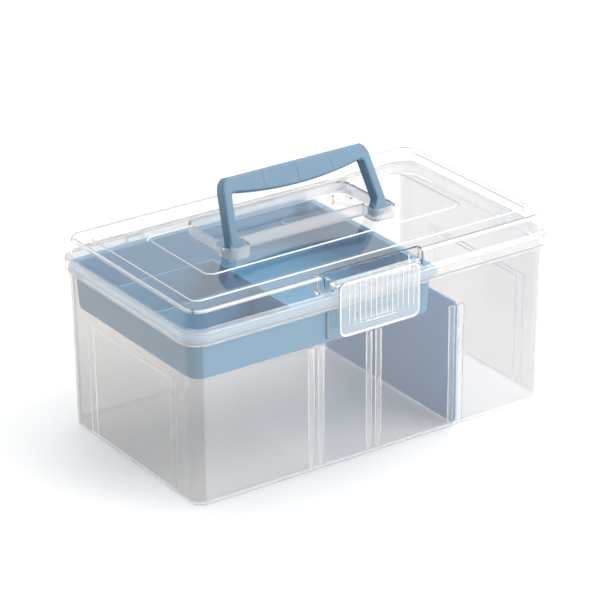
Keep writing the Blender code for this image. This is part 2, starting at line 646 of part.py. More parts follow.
def main():
    """Build every part of the box."""
    clear_scene()
    parts = new_collection("art_supply_box")
    tools = new_collection("shaping_tools")
    clear = plastic("clear_polypropylene", (0.86, 0.87, 0.88), 0.25, 0.35)
    lid_clear = plastic("clear_lid_polypropylene", (0.92, 0.93, 0.95), 0.15, 0.3)
    latch_clear = plastic("clear_latch_plastic", (0.92, 0.94, 0.96), 0.2, 0.5)
    handle_blue = plastic("blue_handle_plastic", (0.30, 0.46, 0.60), 0.4)
    tray_blue = plastic("blue_tray_plastic", (0.25, 0.42, 0.58), 0.35)
    divider_blue = plastic("blue_divider_plastic", (0.24, 0.38, 0.55), 0.4)
    made = [
        make_box_body(parts, tools, clear),
        make_lid(parts, tools, lid_clear),
        make_handle(parts, tools, handle_blue),
        make_latch(parts, tools, latch_clear),
        make_tray(parts, tools, tray_blue),
        make_divider(parts, divider_blue),
    ]
    for item in made:
        shade(item)


if __name__ == "__main__":
    main()
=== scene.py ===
"""Clear art supply box: moulded box and domed lid, blue handle, tray and divider, clear front latch.

Lengths in the fields of the pieces' classes are millimetres, and the workbench functions turn them
into metres. X runs along the box, Y from its front to its back and Z up from the table.
"""
import logging
import math
from contextlib import contextmanager
from dataclasses import dataclass
from enum import Enum
from typing import Callable, Iterator

import bmesh
import bpy
from mathutils import Euler, Matrix, Vector


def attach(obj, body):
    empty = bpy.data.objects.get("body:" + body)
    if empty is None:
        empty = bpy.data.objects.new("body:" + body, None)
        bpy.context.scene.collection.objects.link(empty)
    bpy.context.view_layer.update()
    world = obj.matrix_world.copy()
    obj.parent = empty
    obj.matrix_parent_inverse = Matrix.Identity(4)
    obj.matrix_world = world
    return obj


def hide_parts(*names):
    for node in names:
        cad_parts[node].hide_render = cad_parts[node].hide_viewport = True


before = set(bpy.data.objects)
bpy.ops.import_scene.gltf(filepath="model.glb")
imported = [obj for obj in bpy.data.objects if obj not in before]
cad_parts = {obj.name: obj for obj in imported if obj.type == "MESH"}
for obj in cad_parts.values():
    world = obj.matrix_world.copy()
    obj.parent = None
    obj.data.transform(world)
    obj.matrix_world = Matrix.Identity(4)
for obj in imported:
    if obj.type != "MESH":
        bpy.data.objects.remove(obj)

LOG = logging.getLogger("art_supply_box")
Point = tuple[float, float, float]
Colour = tuple[float, float, float]
Span = tuple[float, float]

MM = 0.001
SAME_PLACE = 0.05  # millimetres between places that count as the same
SQUARE_ON = 0.99  # cosine past which a face counts as square to a direction

# Places in millimetres that two pieces share: each axis runs along X at a Y and a Z.
HINGE_AXIS: Span = (97.4, 128.5)
HINGE_CENTRES: Span = (-95.0, 95.0)
HINGE_RADIUS = 3.6
HANDLE_AXIS: Span = (-1.0, 152.8)
LATCH_AXIS: Span = (-91.0, 149.5)

# Sockets of the Mix node when it mixes two colours.
MIX_AMOUNT, MIX_FIRST, MIX_SECOND, MIX_RESULT = 0, 6, 7, 2


class Element(Enum):
    """The kind of mesh element that an edit works on."""

    VERTEX = "VERT"
    EDGE = "EDGE"
    FACE = "FACE"


class Join(Enum):
    """How one solid is combined with another."""

    FUSE = "UNION"
    CUT = "DIFFERENCE"


# ---- workbench -----------------------------------------------------------------------------------
def only(item: bpy.types.Object) -> None:
    """Make one object the whole selection and the active object.

    Args:
        item: the object.
    """
    bpy.ops.object.select_all(action="DESELECT")
    item.select_set(True)
    bpy.context.view_layer.objects.active = item


def place_in_mesh(item: bpy.types.Object) -> None:
    """Move an object's place, turn and scale into its mesh."""
    only(item)
    bpy.ops.object.transform_apply(location=True, rotation=True, scale=True)


@contextmanager
def editing(item: bpy.types.Object, element: Element) -> Iterator[None]:
    """Hold an object in edit mode with nothing selected.

    Args:
        item: the object to edit.
        element: what the selection is made of.
    """
    only(item)
    bpy.ops.object.mode_set(mode="EDIT")
    bpy.ops.mesh.select_mode(type=element.value)
    bpy.ops.mesh.select_all(action="DESELECT")
    try:
        yield
    finally:
        bpy.ops.object.mode_set(mode="OBJECT")


def pick(item: bpy.types.Object, element: Element, wanted: Callable) -> int:
    """Select the elements that pass a test, on top of what is selected.

    Args:
        item: the object in edit mode.
        element: which list to look through.
        wanted: test of one element.

    Returns:
        How many were picked.
    """
    bm = bmesh.from_edit_mesh(item.data)
    lists = {Element.VERTEX: bm.verts, Element.EDGE: bm.edges, Element.FACE: bm.faces}
    chosen = [part for part in lists[element] if wanted(part)]
    for part in chosen:
        part.select_set(True)
    bm.select_flush_mode()
    bmesh.update_edit_mesh(item.data)
    return len(chosen)


def reshape(item: bpy.types.Object, wanted: Callable[[Vector], bool],
            moved: Callable[[Vector], Vector]) -> None:
    """Move the vertices that pass a test.

    Args:
        item: the object to shape.
        wanted: test of a vertex's place in millimetres.
        moved: the new place of a vertex, from its place, both in millimetres.
    """
    with editing(item, Element.VERTEX):
        bm = bmesh.from_edit_mesh(item.data)
        for vert in bm.verts:
            place = vert.co / MM
            if wanted(place):
                vert.co = moved(place) * MM
        bmesh.update_edit_mesh(item.data)


def block(name: str, low: Point, high: Point) -> bpy.types.Object:
    """Add a box.

    Args:
        name: the object's name.
        low: its lowest corner in millimetres.
        high: its highest corner in millimetres.

    Returns:
        The box, with its place in its mesh.
    """
    centre = (Vector(low) + Vector(high)) * MM / 2
    bpy.ops.object.select_all(action="DESELECT")
    bpy.ops.mesh.primitive_cube_add(size=1.0, location=centre)
    item = bpy.context.active_object
    item.name = name
    item.data.name = name
    item.scale = (Vector(high) - Vector(low)) * MM
    place_in_mesh(item)
    return item


def rod(name: str, across: Span, centre: Span, radius: float, sides: int = 40) -> bpy.types.Object:
    """Add a cylinder along X, sized in millimetres.

    Args:
        name: the object's name.
        across: start and end along X.
        centre: Y and Z of the axis.
        radius: its radius.
        sides: facets round it.

    Returns:
        The cylinder, with its place in its mesh.
    """
    bpy.ops.object.select_all(action="DESELECT")
    bpy.ops.mesh.primitive_cylinder_add(
        vertices=sides, radius=radius * MM, depth=abs(across[1] - across[0]) * MM,
        location=((across[0] + across[1]) / 2 * MM, centre[0] * MM, centre[1] * MM),
        rotation=(0.0, math.pi / 2, 0.0))
    item = bpy.context.active_object
    item.name = name
    place_in_mesh(item)
    return item


def upright(edge: bmesh.types.BMEdge) -> bool:
    """True for an edge that stands up."""
    run = edge.verts[1].co - edge.verts[0].co
    return abs(run.z) > 0.9 * run.length


def at_height(z: float) -> Callable[[bmesh.types.BMEdge], bool]:
    """A test for edges that lie at a height in millimetres."""
    return lambda edge: all(abs(vert.co.z - z * MM) < SAME_PLACE * MM for vert in edge.verts)


def along(axis: int) -> Callable[[bmesh.types.BMEdge], bool]:
    """Make a test for edges that run one way.

    Args:
        axis: 0, 1 or 2 for X, Y or Z.

    Returns:
        The test of one edge.
    """
    def test(edge: bmesh.types.BMEdge) -> bool:
        """True for an edge within about 18 degrees of the axis."""
        run = edge.verts[1].co - edge.verts[0].co
        return abs(run[axis]) > 0.95 * run.length
    return test


def round_edges(item: bpy.types.Object, width: float, segments: int, wanted: Callable) -> None:
    """Round some edges.

    Args:
        item: the object.
        width: how far the rounding reaches from the edge, in millimetres.
        segments: facets across the rounding.
        wanted: test of one edge.
    """
    with editing(item, Element.EDGE):
        if pick(item, Element.EDGE, wanted):
            bpy.ops.mesh.bevel(offset=width * MM, segments=segments, affect="EDGES", profile=0.5)


def face_up(item: bpy.types.Object) -> None:
    """Select the highest level faces of an object in edit mode.

    Args:
        item: the object in edit mode.
    """
    top = max(vert.co.z for vert in bmesh.from_edit_mesh(item.data).verts)
    pick(item, Element.FACE, lambda face: face.normal.z > SQUARE_ON
         and abs(face.calc_center_median().z - top) < SAME_PLACE * MM)


def open_underside(item: bpy.types.Object) -> None:
    """Take away the faces that look straight down.

    Args:
        item: the solid, which becomes a skin.
    """
    with editing(item, Element.FACE):
        pick(item, Element.FACE, lambda face: face.normal.z < -SQUARE_ON)
        bpy.ops.mesh.delete(type="FACE")


def inset_top(item: bpy.types.Object, inset: float, rise: float) -> None:
    """Carry the top face in and up.

    Args:
        item: the object.
        inset: how far in, in millimetres.
        rise: how far up, in millimetres.
    """
    with editing(item, Element.FACE):
        face_up(item)
        bpy.ops.mesh.inset(thickness=inset * MM, depth=rise * MM)


def combine(item: bpy.types.Object, tool: bpy.types.Object, how: Join) -> None:
    """Fuse a solid on, or cut it away, and drop the tool.

    Args:
        item: the object that stays.
        tool: the solid that is used up.
        how: whether it is fused or cut.
    """
    only(item)
    modifier = item.modifiers.new(tool.name, "BOOLEAN")
    modifier.operation = how.value
    modifier.solver = "EXACT"
    modifier.object = tool
    bpy.ops.object.modifier_apply(modifier=modifier.name)
    bpy.data.objects.remove(tool, do_unlink=True)


def copy_to(item: bpy.types.Object, name: str, step: Point) -> bpy.types.Object:
    """Copy an object with its own mesh.

    Args:
        item: the object to copy.
        name: the copy's name.
        step: how far the copy is moved, in millimetres.

    Returns:
        The copy, with its place in its mesh.
    """
    only(item)
    bpy.ops.object.duplicate(linked=False)
    twin = bpy.context.active_object
    twin.name = name
    twin.location = Vector(step) * MM
    place_in_mesh(twin)
    return twin


def gather(items: list[bpy.types.Object]) -> bpy.types.Object:
    """Join separate solids into one object.

    Args:
        items: the solids, of which the first takes in the others.

    Returns:
        The first of them.
    """
    bpy.ops.object.select_all(action="DESELECT")
    for item in items:
        item.select_set(True)
    bpy.context.view_layer.objects.active = items[0]
    bpy.ops.object.join()
    return items[0]


def shell(item: bpy.types.Object, wall: float) -> None:
    """Give an open skin a wall inside its faces.

    Args:
        item: the skin.
        wall: its thickness in millimetres.
    """
    only(item)
    modifier = item.modifiers.new("wall", "SOLIDIFY")
    modifier.thickness = wall * MM
    modifier.offset = -1.0
    modifier.use_even_offset = True
    modifier.use_quality_normals = True
    bpy.ops.object.modifier_apply(modifier=modifier.name)


def round_sharp_edges(item: bpy.types.Object, width: float, segments: int, clamp: bool) -> None:
    """Round every edge that turns more than 50 degrees.

    Args:
        item: the object.
        width: how far the rounding reaches from the edge, in millimetres.
        segments: facets across the rounding.
        clamp: whether the width shrinks where two roundings would meet.
    """
    only(item)
    modifier = item.modifiers.new("sharp edges", "BEVEL")
    modifier.width = width * MM
    modifier.segments = segments
    modifier.limit_method = "ANGLE"
    modifier.angle_limit = math.radians(50.0)
    modifier.use_clamp_overlap = clamp
    bpy.ops.object.modifier_apply(modifier=modifier.name)


def finish_surface(item: bpy.types.Object, angle: float = 32.0) -> None:
    """Weld, smooth by angle and let large flat faces keep their own normals.

    Args:
        item: the finished shape.
        angle: the turn in degrees past which an edge stays sharp.
    """
    weld = 0.004 * MM
    with editing(item, Element.VERTEX):
        bpy.ops.mesh.select_all(action="SELECT")
        bpy.ops.mesh.remove_doubles(threshold=weld)
    only(item)
    bpy.ops.object.shade_smooth_by_angle(angle=math.radians(angle))
    modifier = item.modifiers.new("flat faces", "WEIGHTED_NORMAL")
    modifier.keep_sharp = True
    modifier.weight = 100  # the largest faces decide
    bpy.ops.object.modifier_apply(modifier=modifier.name)


def dress(item: bpy.types.Object, main: bpy.types.Material,
          *others: tuple[bpy.types.Material, Callable[[Vector, Vector], bool]]) -> None:
    """Give a piece its finishes.

    Args:
        item: the piece.
        main: the finish of every face that no test picks.
        others: further finishes, each with a test of a face's centre in millimetres and its normal.
    """
    item.data.materials.append(main)
    for index, (finish, wanted) in enumerate(others, 1):
        item.data.materials.append(finish)
        for face in item.data.polygons:
            if wanted(face.center / MM, face.normal):
                face.material_index = index


def tub(name: str, along_x: Span, half_y: float, radius: float, heights: Span, draft: float,
        fillet: float, steps: tuple[int, int]) -> bpy.types.Object:
    """Add a block that widens upwards, with rounded corners and a rounded underside, in millimetres.

    Args:
        name: the object's name.
        along_x: its ends at the top.
        half_y: half its depth at the top.
        radius: its plan corners at the top.
        heights: bottom and top.
        draft: how much each side leans in at the bottom.
        fillet: radius round the bottom.
        steps: facets per plan corner and per fillet.

    Returns:
        A closed solid.
    """
    low_x, high_x = along_x[0] + draft, along_x[1] - draft
    item = block(name, (low_x, -half_y + draft, heights[0]), (high_x, half_y - draft, heights[1]))
    round_edges(item, radius - draft, steps[0], upright)
    round_edges(item, fillet, steps[1], at_height(heights[0]))
    middle = (low_x + high_x) / 2
    wide = (along_x[1] - along_x[0]) / (high_x - low_x)
    deep = half_y / (half_y - draft)
    reshape(item, lambda p: p.z > heights[1] - SAME_PLACE,
            lambda p: Vector((middle + (p.x - middle) * wide, p.y * deep, p.z)))
    return item


# ---- finishes ------------------------------------------------------------------------------------
class NodeDesk:
    """Places and joins nodes in one tree, set out in rows."""

    per_row = 6
    first = (-1400, 300)
    pitch = (220, -260)

    def __init__(self, tree: bpy.types.NodeTree) -> None:
        """Start on a tree."""
        self.tree = tree
        self.count = 0

    def add(self, kind: str, **values: object) -> bpy.types.Node:
        """Add a node.

        Args:
            kind: the node's type name.
            values: socket values by the socket's name with underscores, or settings of the node.

        Returns:
            The node.
        """
        node = self.tree.nodes.new(kind)
        row, column = divmod(self.count, self.per_row)
        node.location = (self.first[0] + self.pitch[0] * column, self.first[1] + self.pitch[1] * row)
        self.count += 1
        for key, value in values.items():
            socket = node.inputs.get(key.replace("_", " "))
            if socket is not None:
                socket.default_value = value
            else:
                setattr(node, key, value)
        return node

    def join(self, source: bpy.types.NodeSocket, target: bpy.types.NodeSocket) -> None:
        """Join two sockets."""
        self.tree.links.new(source, target)


def new_group(name: str, inputs: dict[str, float], outputs: dict[str, str]) -> NodeDesk:
    """Start a shader node group.

    Args:
        name: the group's name.
        inputs: its number sockets and their values.
        outputs: its output sockets and their types.

    Returns:
        The desk of its tree, with its sockets made and no node in it.
    """
    tree = bpy.data.node_groups.new(name, "ShaderNodeTree")
    for label, value in inputs.items():
        socket = tree.interface.new_socket(name=label, in_out="INPUT", socket_type="NodeSocketFloat")
        socket.default_value = value
    for label, kind in outputs.items():
        tree.interface.new_socket(name=label, in_out="OUTPUT", socket_type=kind)
    return NodeDesk(tree)


def flow_marks_group() -> bpy.types.NodeTree:
    """Slow waves left in moulded plastic as it cools, under a fine grain.

    Returns:
        The group, which puts out a height and a mask.
    """
    desk = new_group("flow_marks", {"Scale": 18.0, "Fine": 900.0, "Grain": 0.15},
                     {"Height": "NodeSocketFloat", "Mask": "NodeSocketFloat"})
    given = desk.add("NodeGroupInput")
    place = desk.add("ShaderNodeTexCoord")
    slow = desk.add("ShaderNodeTexNoise", Detail=1.5, Roughness=0.4, Distortion=0.6)
    fine = desk.add("ShaderNodeTexNoise", Detail=3.0, Roughness=0.6)
    for texture, label in ((slow, "Scale"), (fine, "Fine")):
        desk.join(place.outputs["Object"], texture.inputs["Vector"])
        desk.join(given.outputs[label], texture.inputs["Scale"])
    grain = desk.add("ShaderNodeMath", operation="MULTIPLY")
    desk.join(fine.outputs["Fac"], grain.inputs[0])
    desk.join(given.outputs["Grain"], grain.inputs[1])
    height = desk.add("ShaderNodeMath", operation="ADD")
    desk.join(slow.outputs["Fac"], height.inputs[0])
    desk.join(grain.outputs[0], height.inputs[1])
    done = desk.add("NodeGroupOutput")
    desk.join(height.outputs[0], done.inputs["Height"])
    desk.join(slow.outputs["Fac"], done.inputs["Mask"])
    return desk.tree


def handling_group() -> bpy.types.NodeTree:
    """Fine rubs and dust from use.

    Returns:
        The group, which puts out a mask that is mostly zero.
    """
    desk = new_group("handling_marks", {"Scale": 60.0, "Amount": 0.5}, {"Mask": "NodeSocketFloat"})
    given = desk.add("NodeGroupInput")
    place = desk.add("ShaderNodeTexCoord")
    stretch = desk.add("ShaderNodeMapping")
    stretch.inputs["Scale"].default_value = (1.0, 7.0, 7.0)
    stretch.inputs["Rotation"].default_value = (0.2, 0.1, 0.5)
    desk.join(place.outputs["Object"], stretch.inputs["Vector"])
    rubs = desk.add("ShaderNodeTexNoise", Detail=5.0, Roughness=0.7)
    desk.join(stretch.outputs["Vector"], rubs.inputs["Vector"])
    desk.join(given.outputs["Scale"], rubs.inputs["Scale"])
    sparse = desk.add("ShaderNodeMapRange")
    sparse.inputs["From Min"].default_value = 0.55
    sparse.inputs["From Max"].default_value = 0.8
    desk.join(rubs.outputs["Fac"], sparse.inputs["Value"])
    level = desk.add("ShaderNodeMath", operation="MULTIPLY")
    desk.join(sparse.outputs["Result"], level.inputs[0])
    desk.join(given.outputs["Amount"], level.inputs[1])
    done = desk.add("NodeGroupOutput")
    desk.join(level.outputs[0], done.inputs["Mask"])
    return desk.tree


@dataclass(frozen=True)
class Plastic:
    """One plastic finish: its colour, how clear it is, and how its surface varies.

    Attributes:
        name: the material's name.
        tint: its colour.
        rubbed: its colour where it is rubbed.
        clear: share of light that goes through it.
        roughness: from smooth to rubbed.
        bump: strength of the surface's waves and grain.
        flow: scale of the waves.
        fine: scale of the grain.
        grain: height of the grain against the waves.
        marks: how much the rubs show.
        through: share of lamp and bounce light that a clear wall lets past.
        index: index of refraction.
    """

    name: str
    tint: Colour
    rubbed: Colour
    clear: float
    roughness: Span
    bump: float
    flow: float = 14.0
    fine: float = 900.0
    grain: float = 0.1
    marks: float = 0.4
    through: float = 0.95
    index: float = 1.49

    def build(self, flow_marks: bpy.types.NodeTree, handling: bpy.types.NodeTree) -> bpy.types.Material:
        """Make the material.

        Args:
            flow_marks: the shared group of moulding waves.
            handling: the shared group of rubs.

        Returns:
            A node material round one Principled shader, for clear plastic with a way past it.
        """
        material = bpy.data.materials.new(self.name)
        material.use_nodes = True
        desk = NodeDesk(material.node_tree)
        shader = material.node_tree.nodes["Principled BSDF"]
        shader.inputs["IOR"].default_value = self.index
        shader.inputs["Transmission Weight"].default_value = self.clear
        waves = desk.add("ShaderNodeGroup", node_tree=flow_marks)
        rubs = desk.add("ShaderNodeGroup", node_tree=handling)
        waves.inputs["Scale"].default_value = self.flow
        waves.inputs["Fine"].default_value = self.fine
        waves.inputs["Grain"].default_value = self.grain
        rubs.inputs["Amount"].default_value = self.marks
        colour = desk.add("ShaderNodeMix", data_type="RGBA")
        colour.inputs[MIX_FIRST].default_value = (*self.tint, 1.0)
        colour.inputs[MIX_SECOND].default_value = (*self.rubbed, 1.0)
        desk.join(rubs.outputs["Mask"], colour.inputs[MIX_AMOUNT])
        desk.join(colour.outputs[MIX_RESULT], shader.inputs["Base Color"])
        gloss = desk.add("ShaderNodeMapRange")
        gloss.inputs["To Min"].default_value = self.roughness[0]
        gloss.inputs["To Max"].default_value = self.roughness[1]
        mixed = desk.add("ShaderNodeMath", operation="ADD", use_clamp=True)
        desk.join(waves.outputs["Mask"], mixed.inputs[0])
        desk.join(rubs.outputs["Mask"], mixed.inputs[1])
        desk.join(mixed.outputs[0], gloss.inputs["Value"])
        desk.join(gloss.outputs["Result"], shader.inputs["Roughness"])
        bump = desk.add("ShaderNodeBump")
        bump.inputs["Strength"].default_value = self.bump
        bump.inputs["Distance"].default_value = 1.0 * MM
        desk.join(waves.outputs["Height"], bump.inputs["Height"])
        desk.join(bump.outputs["Normal"], shader.inputs["Normal"])
        if self.clear:
            self.let_light_in(desk, shader)
        return material

    def let_light_in(self, desk: NodeDesk, shader: bpy.types.Node) -> None:
        """Let lamps and soft bounce light reach what is behind the clear plastic.

        Args:
            desk: the desk of the material's tree.
            shader: its Principled shader.
        """
        rays = desk.add("ShaderNodeLightPath")
        soft = desk.add("ShaderNodeMath", operation="MAXIMUM")
        desk.join(rays.outputs["Is Shadow Ray"], soft.inputs[0])
        desk.join(rays.outputs["Is Diffuse Ray"], soft.inputs[1])
        pass_through = desk.add("ShaderNodeBsdfTransparent")
        pass_through.inputs["Color"].default_value = (*[self.through] * 3, 1.0)
        mixed = desk.add("ShaderNodeMixShader")
        desk.join(soft.outputs[0], mixed.inputs[0])
        desk.join(shader.outputs[0], mixed.inputs[1])
        desk.join(pass_through.outputs[0], mixed.inputs[2])
        output = desk.tree.nodes["Material Output"]
        desk.join(mixed.outputs[0], output.inputs["Surface"])


def grey(level: float) -> Colour:
    """A colour with the same level in each channel."""
    return (level, level, level)


WHITE = grey(1.0)


class Palette:
    """Every finish on the box, and the table's."""

    def __init__(self) -> None:
        """Build the shared groups and each finish."""
        self.flow_marks, self.handling = flow_marks_group(), handling_group()
        self.mix_clear_plastics()
        self.mix_blue_plastics()
        self.table = self.made("pale_table_top", grey(0.98), grey(0.99), 0.0, (0.45, 0.6), 0.02,
                               flow=3.0, fine=300.0, grain=0.1, marks=0.1)

    def made(self, *sizes: object, **surface: float) -> bpy.types.Material:
        """Build one finish with the shared groups.

        Args:
            sizes: the fields of Plastic from its name to its bump.
            surface: further fields of Plastic by name.

        Returns:
            The material.
        """
        return Plastic(*sizes, **surface).build(self.flow_marks, self.handling)

    def mix_clear_plastics(self) -> None:
        """The clear plastic, with a darker tint on the end walls as painted shade, whiter and less clear
        finishes on slopes, rims, ribs and recess walls as painted highlights, a milkier floor and skirt, and
        lighter where rubbed.
        """
        bump = 0.02
        self.body = self.made("clear_body_plastic", (0.88, 0.87, 0.862), grey(0.93), 0.935,
                              (0.02, 0.10), bump)
        # Painted shade: the end walls get a darker grey tint than the body, standing in for the shade on the
        # box's left end; it is used on both ends, and the plastic itself is the body's.
        self.end_wall = self.made("smoky_end_wall_plastic", (0.72, 0.70, 0.685), (0.80, 0.79, 0.78), 0.90,
                                  (0.03, 0.12), bump)
        self.floor = self.made("milky_floor_plastic", (0.90, 0.895, 0.89), grey(0.95), 0.7,
                               (0.04, 0.10), bump)
        # Painted highlight: a whiter, less clear finish on the inner faces of the slot ribs, standing in for
        # their bright crest lines.
        self.ribs = self.made("milky_rib_plastic", grey(0.97), WHITE, 0.78, (0.06, 0.14), bump)
        self.lid = self.made("clear_lid_plastic", grey(0.965), WHITE, 0.975, (0.01, 0.05), bump)
        self.skirt = self.made("milky_skirt_plastic", grey(0.975), WHITE, 0.86, (0.04, 0.10), bump)
        # Painted highlight: a whiter, less clear finish on the upright walls of the handle recess and its
        # cups, standing in for the bright bands reflected there.
        self.pan = self.made("soft_white_pan_plastic", grey(0.98), WHITE, 0.72, (0.04, 0.10), bump)
        # Painted highlight: a white, barely clear finish on the sloping sides of the lid's lines and the
        # end-wall panel steps, standing in for the bright lines that reflections draw on these slopes.
        self.bend_highlight = self.made("milky_bend_plastic", grey(0.985), WHITE, 0.3, (0.06, 0.14), bump)
        # Painted highlight: a whiter, less clear finish on the dome's rounded top edge, standing in for the
        # bright edge lines that reflections make there.
        self.dome_edge = self.made("soft_white_dome_edge_plastic", grey(0.985), WHITE, 0.65,
                                   (0.05, 0.12), bump)
        self.latch = self.made("clear_latch_plastic", grey(0.98), WHITE, 0.88, (0.05, 0.12), bump)
        # Painted highlight: the latch's front border gets a whiter, less clear finish, standing in for the
        # bright border line that reflections draw.
        self.milky = self.made("milky_edge_plastic", grey(0.985), WHITE, 0.35, (0.08, 0.16), bump)
        # Painted highlight: the clear latch's finger ribs get a nearly opaque white finish, standing in for
        # the bright lines their edges catch.
        self.finger_rib = self.made("white_finger_rib_plastic", grey(0.97), WHITE, 0.05,
                                    (0.14, 0.24), bump)

    def mix_blue_plastics(self) -> None:
        """The solid blue plastics, satin with a fine grain."""
        grain = {"fine": 4000.0, "grain": 0.05}
        self.handle = self.made("blue_handle_plastic", (0.155, 0.27, 0.375), (0.21, 0.33, 0.44), 0.0,
                                (0.36, 0.48), 0.06, flow=40.0, marks=0.35, **grain)
        self.tray = self.made("blue_tray_plastic", (0.06, 0.27, 0.455), (0.10, 0.31, 0.50), 0.0,
                              (0.30, 0.42), 0.05, flow=30.0, marks=0.3, **grain)
        self.divider = self.made("blue_divider_plastic", (0.035, 0.22, 0.48), (0.07, 0.27, 0.53), 0.0,
                                 (0.34, 0.46), 0.04, flow=30.0, marks=0.3, **grain)


# ---- pieces --------------------------------------------------------------------------------------
@dataclass
class BoxBody:
    """The open box with its flared rim, slot ribs, side panels, catch and hinge lugs."""

    half_x: float = 160.9
    half_y: float = 89.4
    radius: float = 13.9
    wall_top: float = 130.6
    shelf: float = 132.2
    rim_top: float = 139.5
    flare: float = 1.7
    draft: float = 1.5
    wall: float = 1.8
    foot: float = 4.5
    floor_rise: float = 0.6
    slots: tuple[float, ...] = (-53.0, -1.0, 75.5)
    slot_width: float = 3.8
    rib_width: float = 4.8
    rib_heights: Span = (2.0, 102.0)
    rib_face: float = 84.5
    rib_edge: float = 1.1
    rib_reach: float = 90.0
    panel_step: float = 1.0
    panel_ramp: float = 0.8
    panel_frames: tuple[tuple[Span, Span], ...] = (((-62.0, 58.0), (4.6, 97.0)),
                                                   ((-53.8, 50.8), (4.6, 93.8)))
    end_from: float = 148.0
    end_flat_from: float = 157.0
    root: float = 88.5
    lug_starts: Span = (-10.4, 7.4)
    lug_width: float = 3.0
    lug_inset: float = 0.25
    lug_heights: Span = (121.3, 130.0)
    lug_hole: float = 2.1
    catch_x: Span = (-20.5, 13.5)
    catch_face: float = -93.3
    catch_heights: Span = (118.95, 121.45)
    guard_starts: Span = (-46.5, 36.5)
    guard_face: float = -92.4
    guard_heights: Span = (108.0, 130.0)

    def build(self, palette: Palette) -> bpy.types.Object:
        """Make the box and dress it.

        Args:
            palette: the finishes.

        Returns:
            The finished piece.
        """
        item = tub("box_body_clear", (-self.half_x, self.half_x), self.half_y, self.radius,
                   (0.0, self.wall_top), self.draft, self.foot, (16, 8))
        self.sink_side_panels(item)
        self.raise_rim(item)
        shell(item, self.wall)
        reshape(item, lambda p: abs(p.z - self.wall) < 0.1,
                lambda p: p + Vector((0.0, 0.0, self.floor_rise)))
        combine(item, self.slot_ribs(), Join.FUSE)
        self.add_fittings(item)
        finish_surface(item)
        # The end walls take the painted shade tint; the panel steps and the slot rib faces take painted
        # highlight finishes.
        dress(item, palette.body, (palette.end_wall, self.on_end_wall), (palette.bend_highlight, self.on_panel_step),
              (palette.floor, lambda p, n: p.z < self.foot + 0.1), (palette.ribs, self.on_rib_face))
        return item

    def on_end_wall(self, p: Vector, n: Vector) -> bool:
        """True for the end walls and their corners, under the shelf."""
        return abs(p.x) > self.end_from and p.z < self.wall_top + 0.4 and abs(n.x) > 0.25

    def on_panel_step(self, p: Vector, n: Vector) -> bool:
        """True for the sloping steps round the panels in the end walls."""
        return abs(p.x) > self.end_flat_from and abs(p.y) < 63.0 and 0.3 < abs(n.x) < 0.95

    def on_rib_face(self, p: Vector, n: Vector) -> bool:
        """True for the inner faces and edges of the slot ribs."""
        deep = self.rib_face - 0.5 < abs(p.y) < self.rib_face + 1.5
        return deep and 3.0 < p.z < self.rib_heights[1] + 1.0 and abs(p.x) < self.rib_reach

    def sink_side_panels(self, item: bpy.types.Object) -> None:
        """Step the middle of each end wall in twice, so that its border shows as two lines.

        Args:
            item: the solid block of the box.
        """
        step, ramp = self.panel_step / 2, self.panel_ramp
        for side in (-1.0, 1.0):
            for (low_y, high_y), (low_z, high_z) in self.panel_frames:
                lines = [((0.0, y * MM, 0.0), (0.0, 1.0, 0.0))
                         for y in (low_y, low_y + ramp, high_y - ramp, high_y)]
                lines += [((0.0, 0.0, z * MM), (0.0, 0.0, 1.0))
                          for z in (low_z, low_z + ramp, high_z - ramp, high_z)]
                for place, normal in lines:
                    with editing(item, Element.FACE):
                        pick(item, Element.FACE, lambda face: face.normal.x * side > 0.7)
                        bpy.ops.mesh.bisect(plane_co=place, plane_no=normal)
                spare = ramp - 0.1
                reshape(item, lambda p: p.x * side > self.end_flat_from
                        and low_y + spare < p.y < high_y - spare and low_z + spare < p.z < high_z - spare,
                        lambda p: p - Vector((side * step, 0.0, 0.0)))

    def raise_rim(self, item: bpy.types.Object) -> None:
        """Step the top of the wall out, carry it up to the rim, then open it.

        Args:
            item: the solid block of the box.
        """
        wide = ((self.half_x + self.flare) / self.half_x, (self.half_y + self.flare) / self.half_y, 1.0)
        for rise, scale in ((self.shelf - self.wall_top, wide), (self.rim_top - self.shelf, None)):
            with editing(item, Element.FACE):
                face_up(item)
                bpy.ops.mesh.extrude_region_move(
                    TRANSFORM_OT_translate={"value": (0.0, 0.0, rise * MM)})
                if scale:
                    bpy.ops.transform.resize(value=scale)
        with editing(item, Element.FACE):
            face_up(item)
            bpy.ops.mesh.delete(type="FACE")

    def slot_ribs(self) -> bpy.types.Object:
        """Make pairs of upright ribs inside the front and back walls.

        Returns:
            All the ribs, rooted half way into the walls.
        """
        foot_top, inside = 10.0, 87.0
        first = block("slot_rib", (0.0, self.rib_face, self.rib_heights[0]),
                      (self.rib_width, self.half_y - self.wall / 2, self.rib_heights[1]))
        reshape(first, lambda p: p.z < foot_top and p.y > inside,
                lambda p: p - Vector((0.0, self.draft, 0.0)))
        front_most = (self.rib_face + 0.1) * MM
        round_edges(first, self.rib_edge, 3, lambda edge: edge.calc_length() > 2.0 * MM
                    and max(vert.co.z for vert in edge.verts) > foot_top * MM
                    and max(vert.co.y for vert in edge.verts) < front_most)
        ribs = []
        for centre in self.slots:
            for start in (centre - self.slot_width / 2 - self.rib_width, centre + self.slot_width / 2):
                back = copy_to(first, "rib_back", (start, 0.0, 0.0))
                front = copy_to(back, "rib_front", (0.0, 0.0, 0.0))
                front.scale = (1.0, -1.0, 1.0)
                place_in_mesh(front)
                with editing(front, Element.FACE):
                    bpy.ops.mesh.select_all(action="SELECT")
                    bpy.ops.mesh.normals_make_consistent(inside=False)
                ribs += [back, front]
        bpy.data.objects.remove(first, do_unlink=True)
        return gather(ribs)

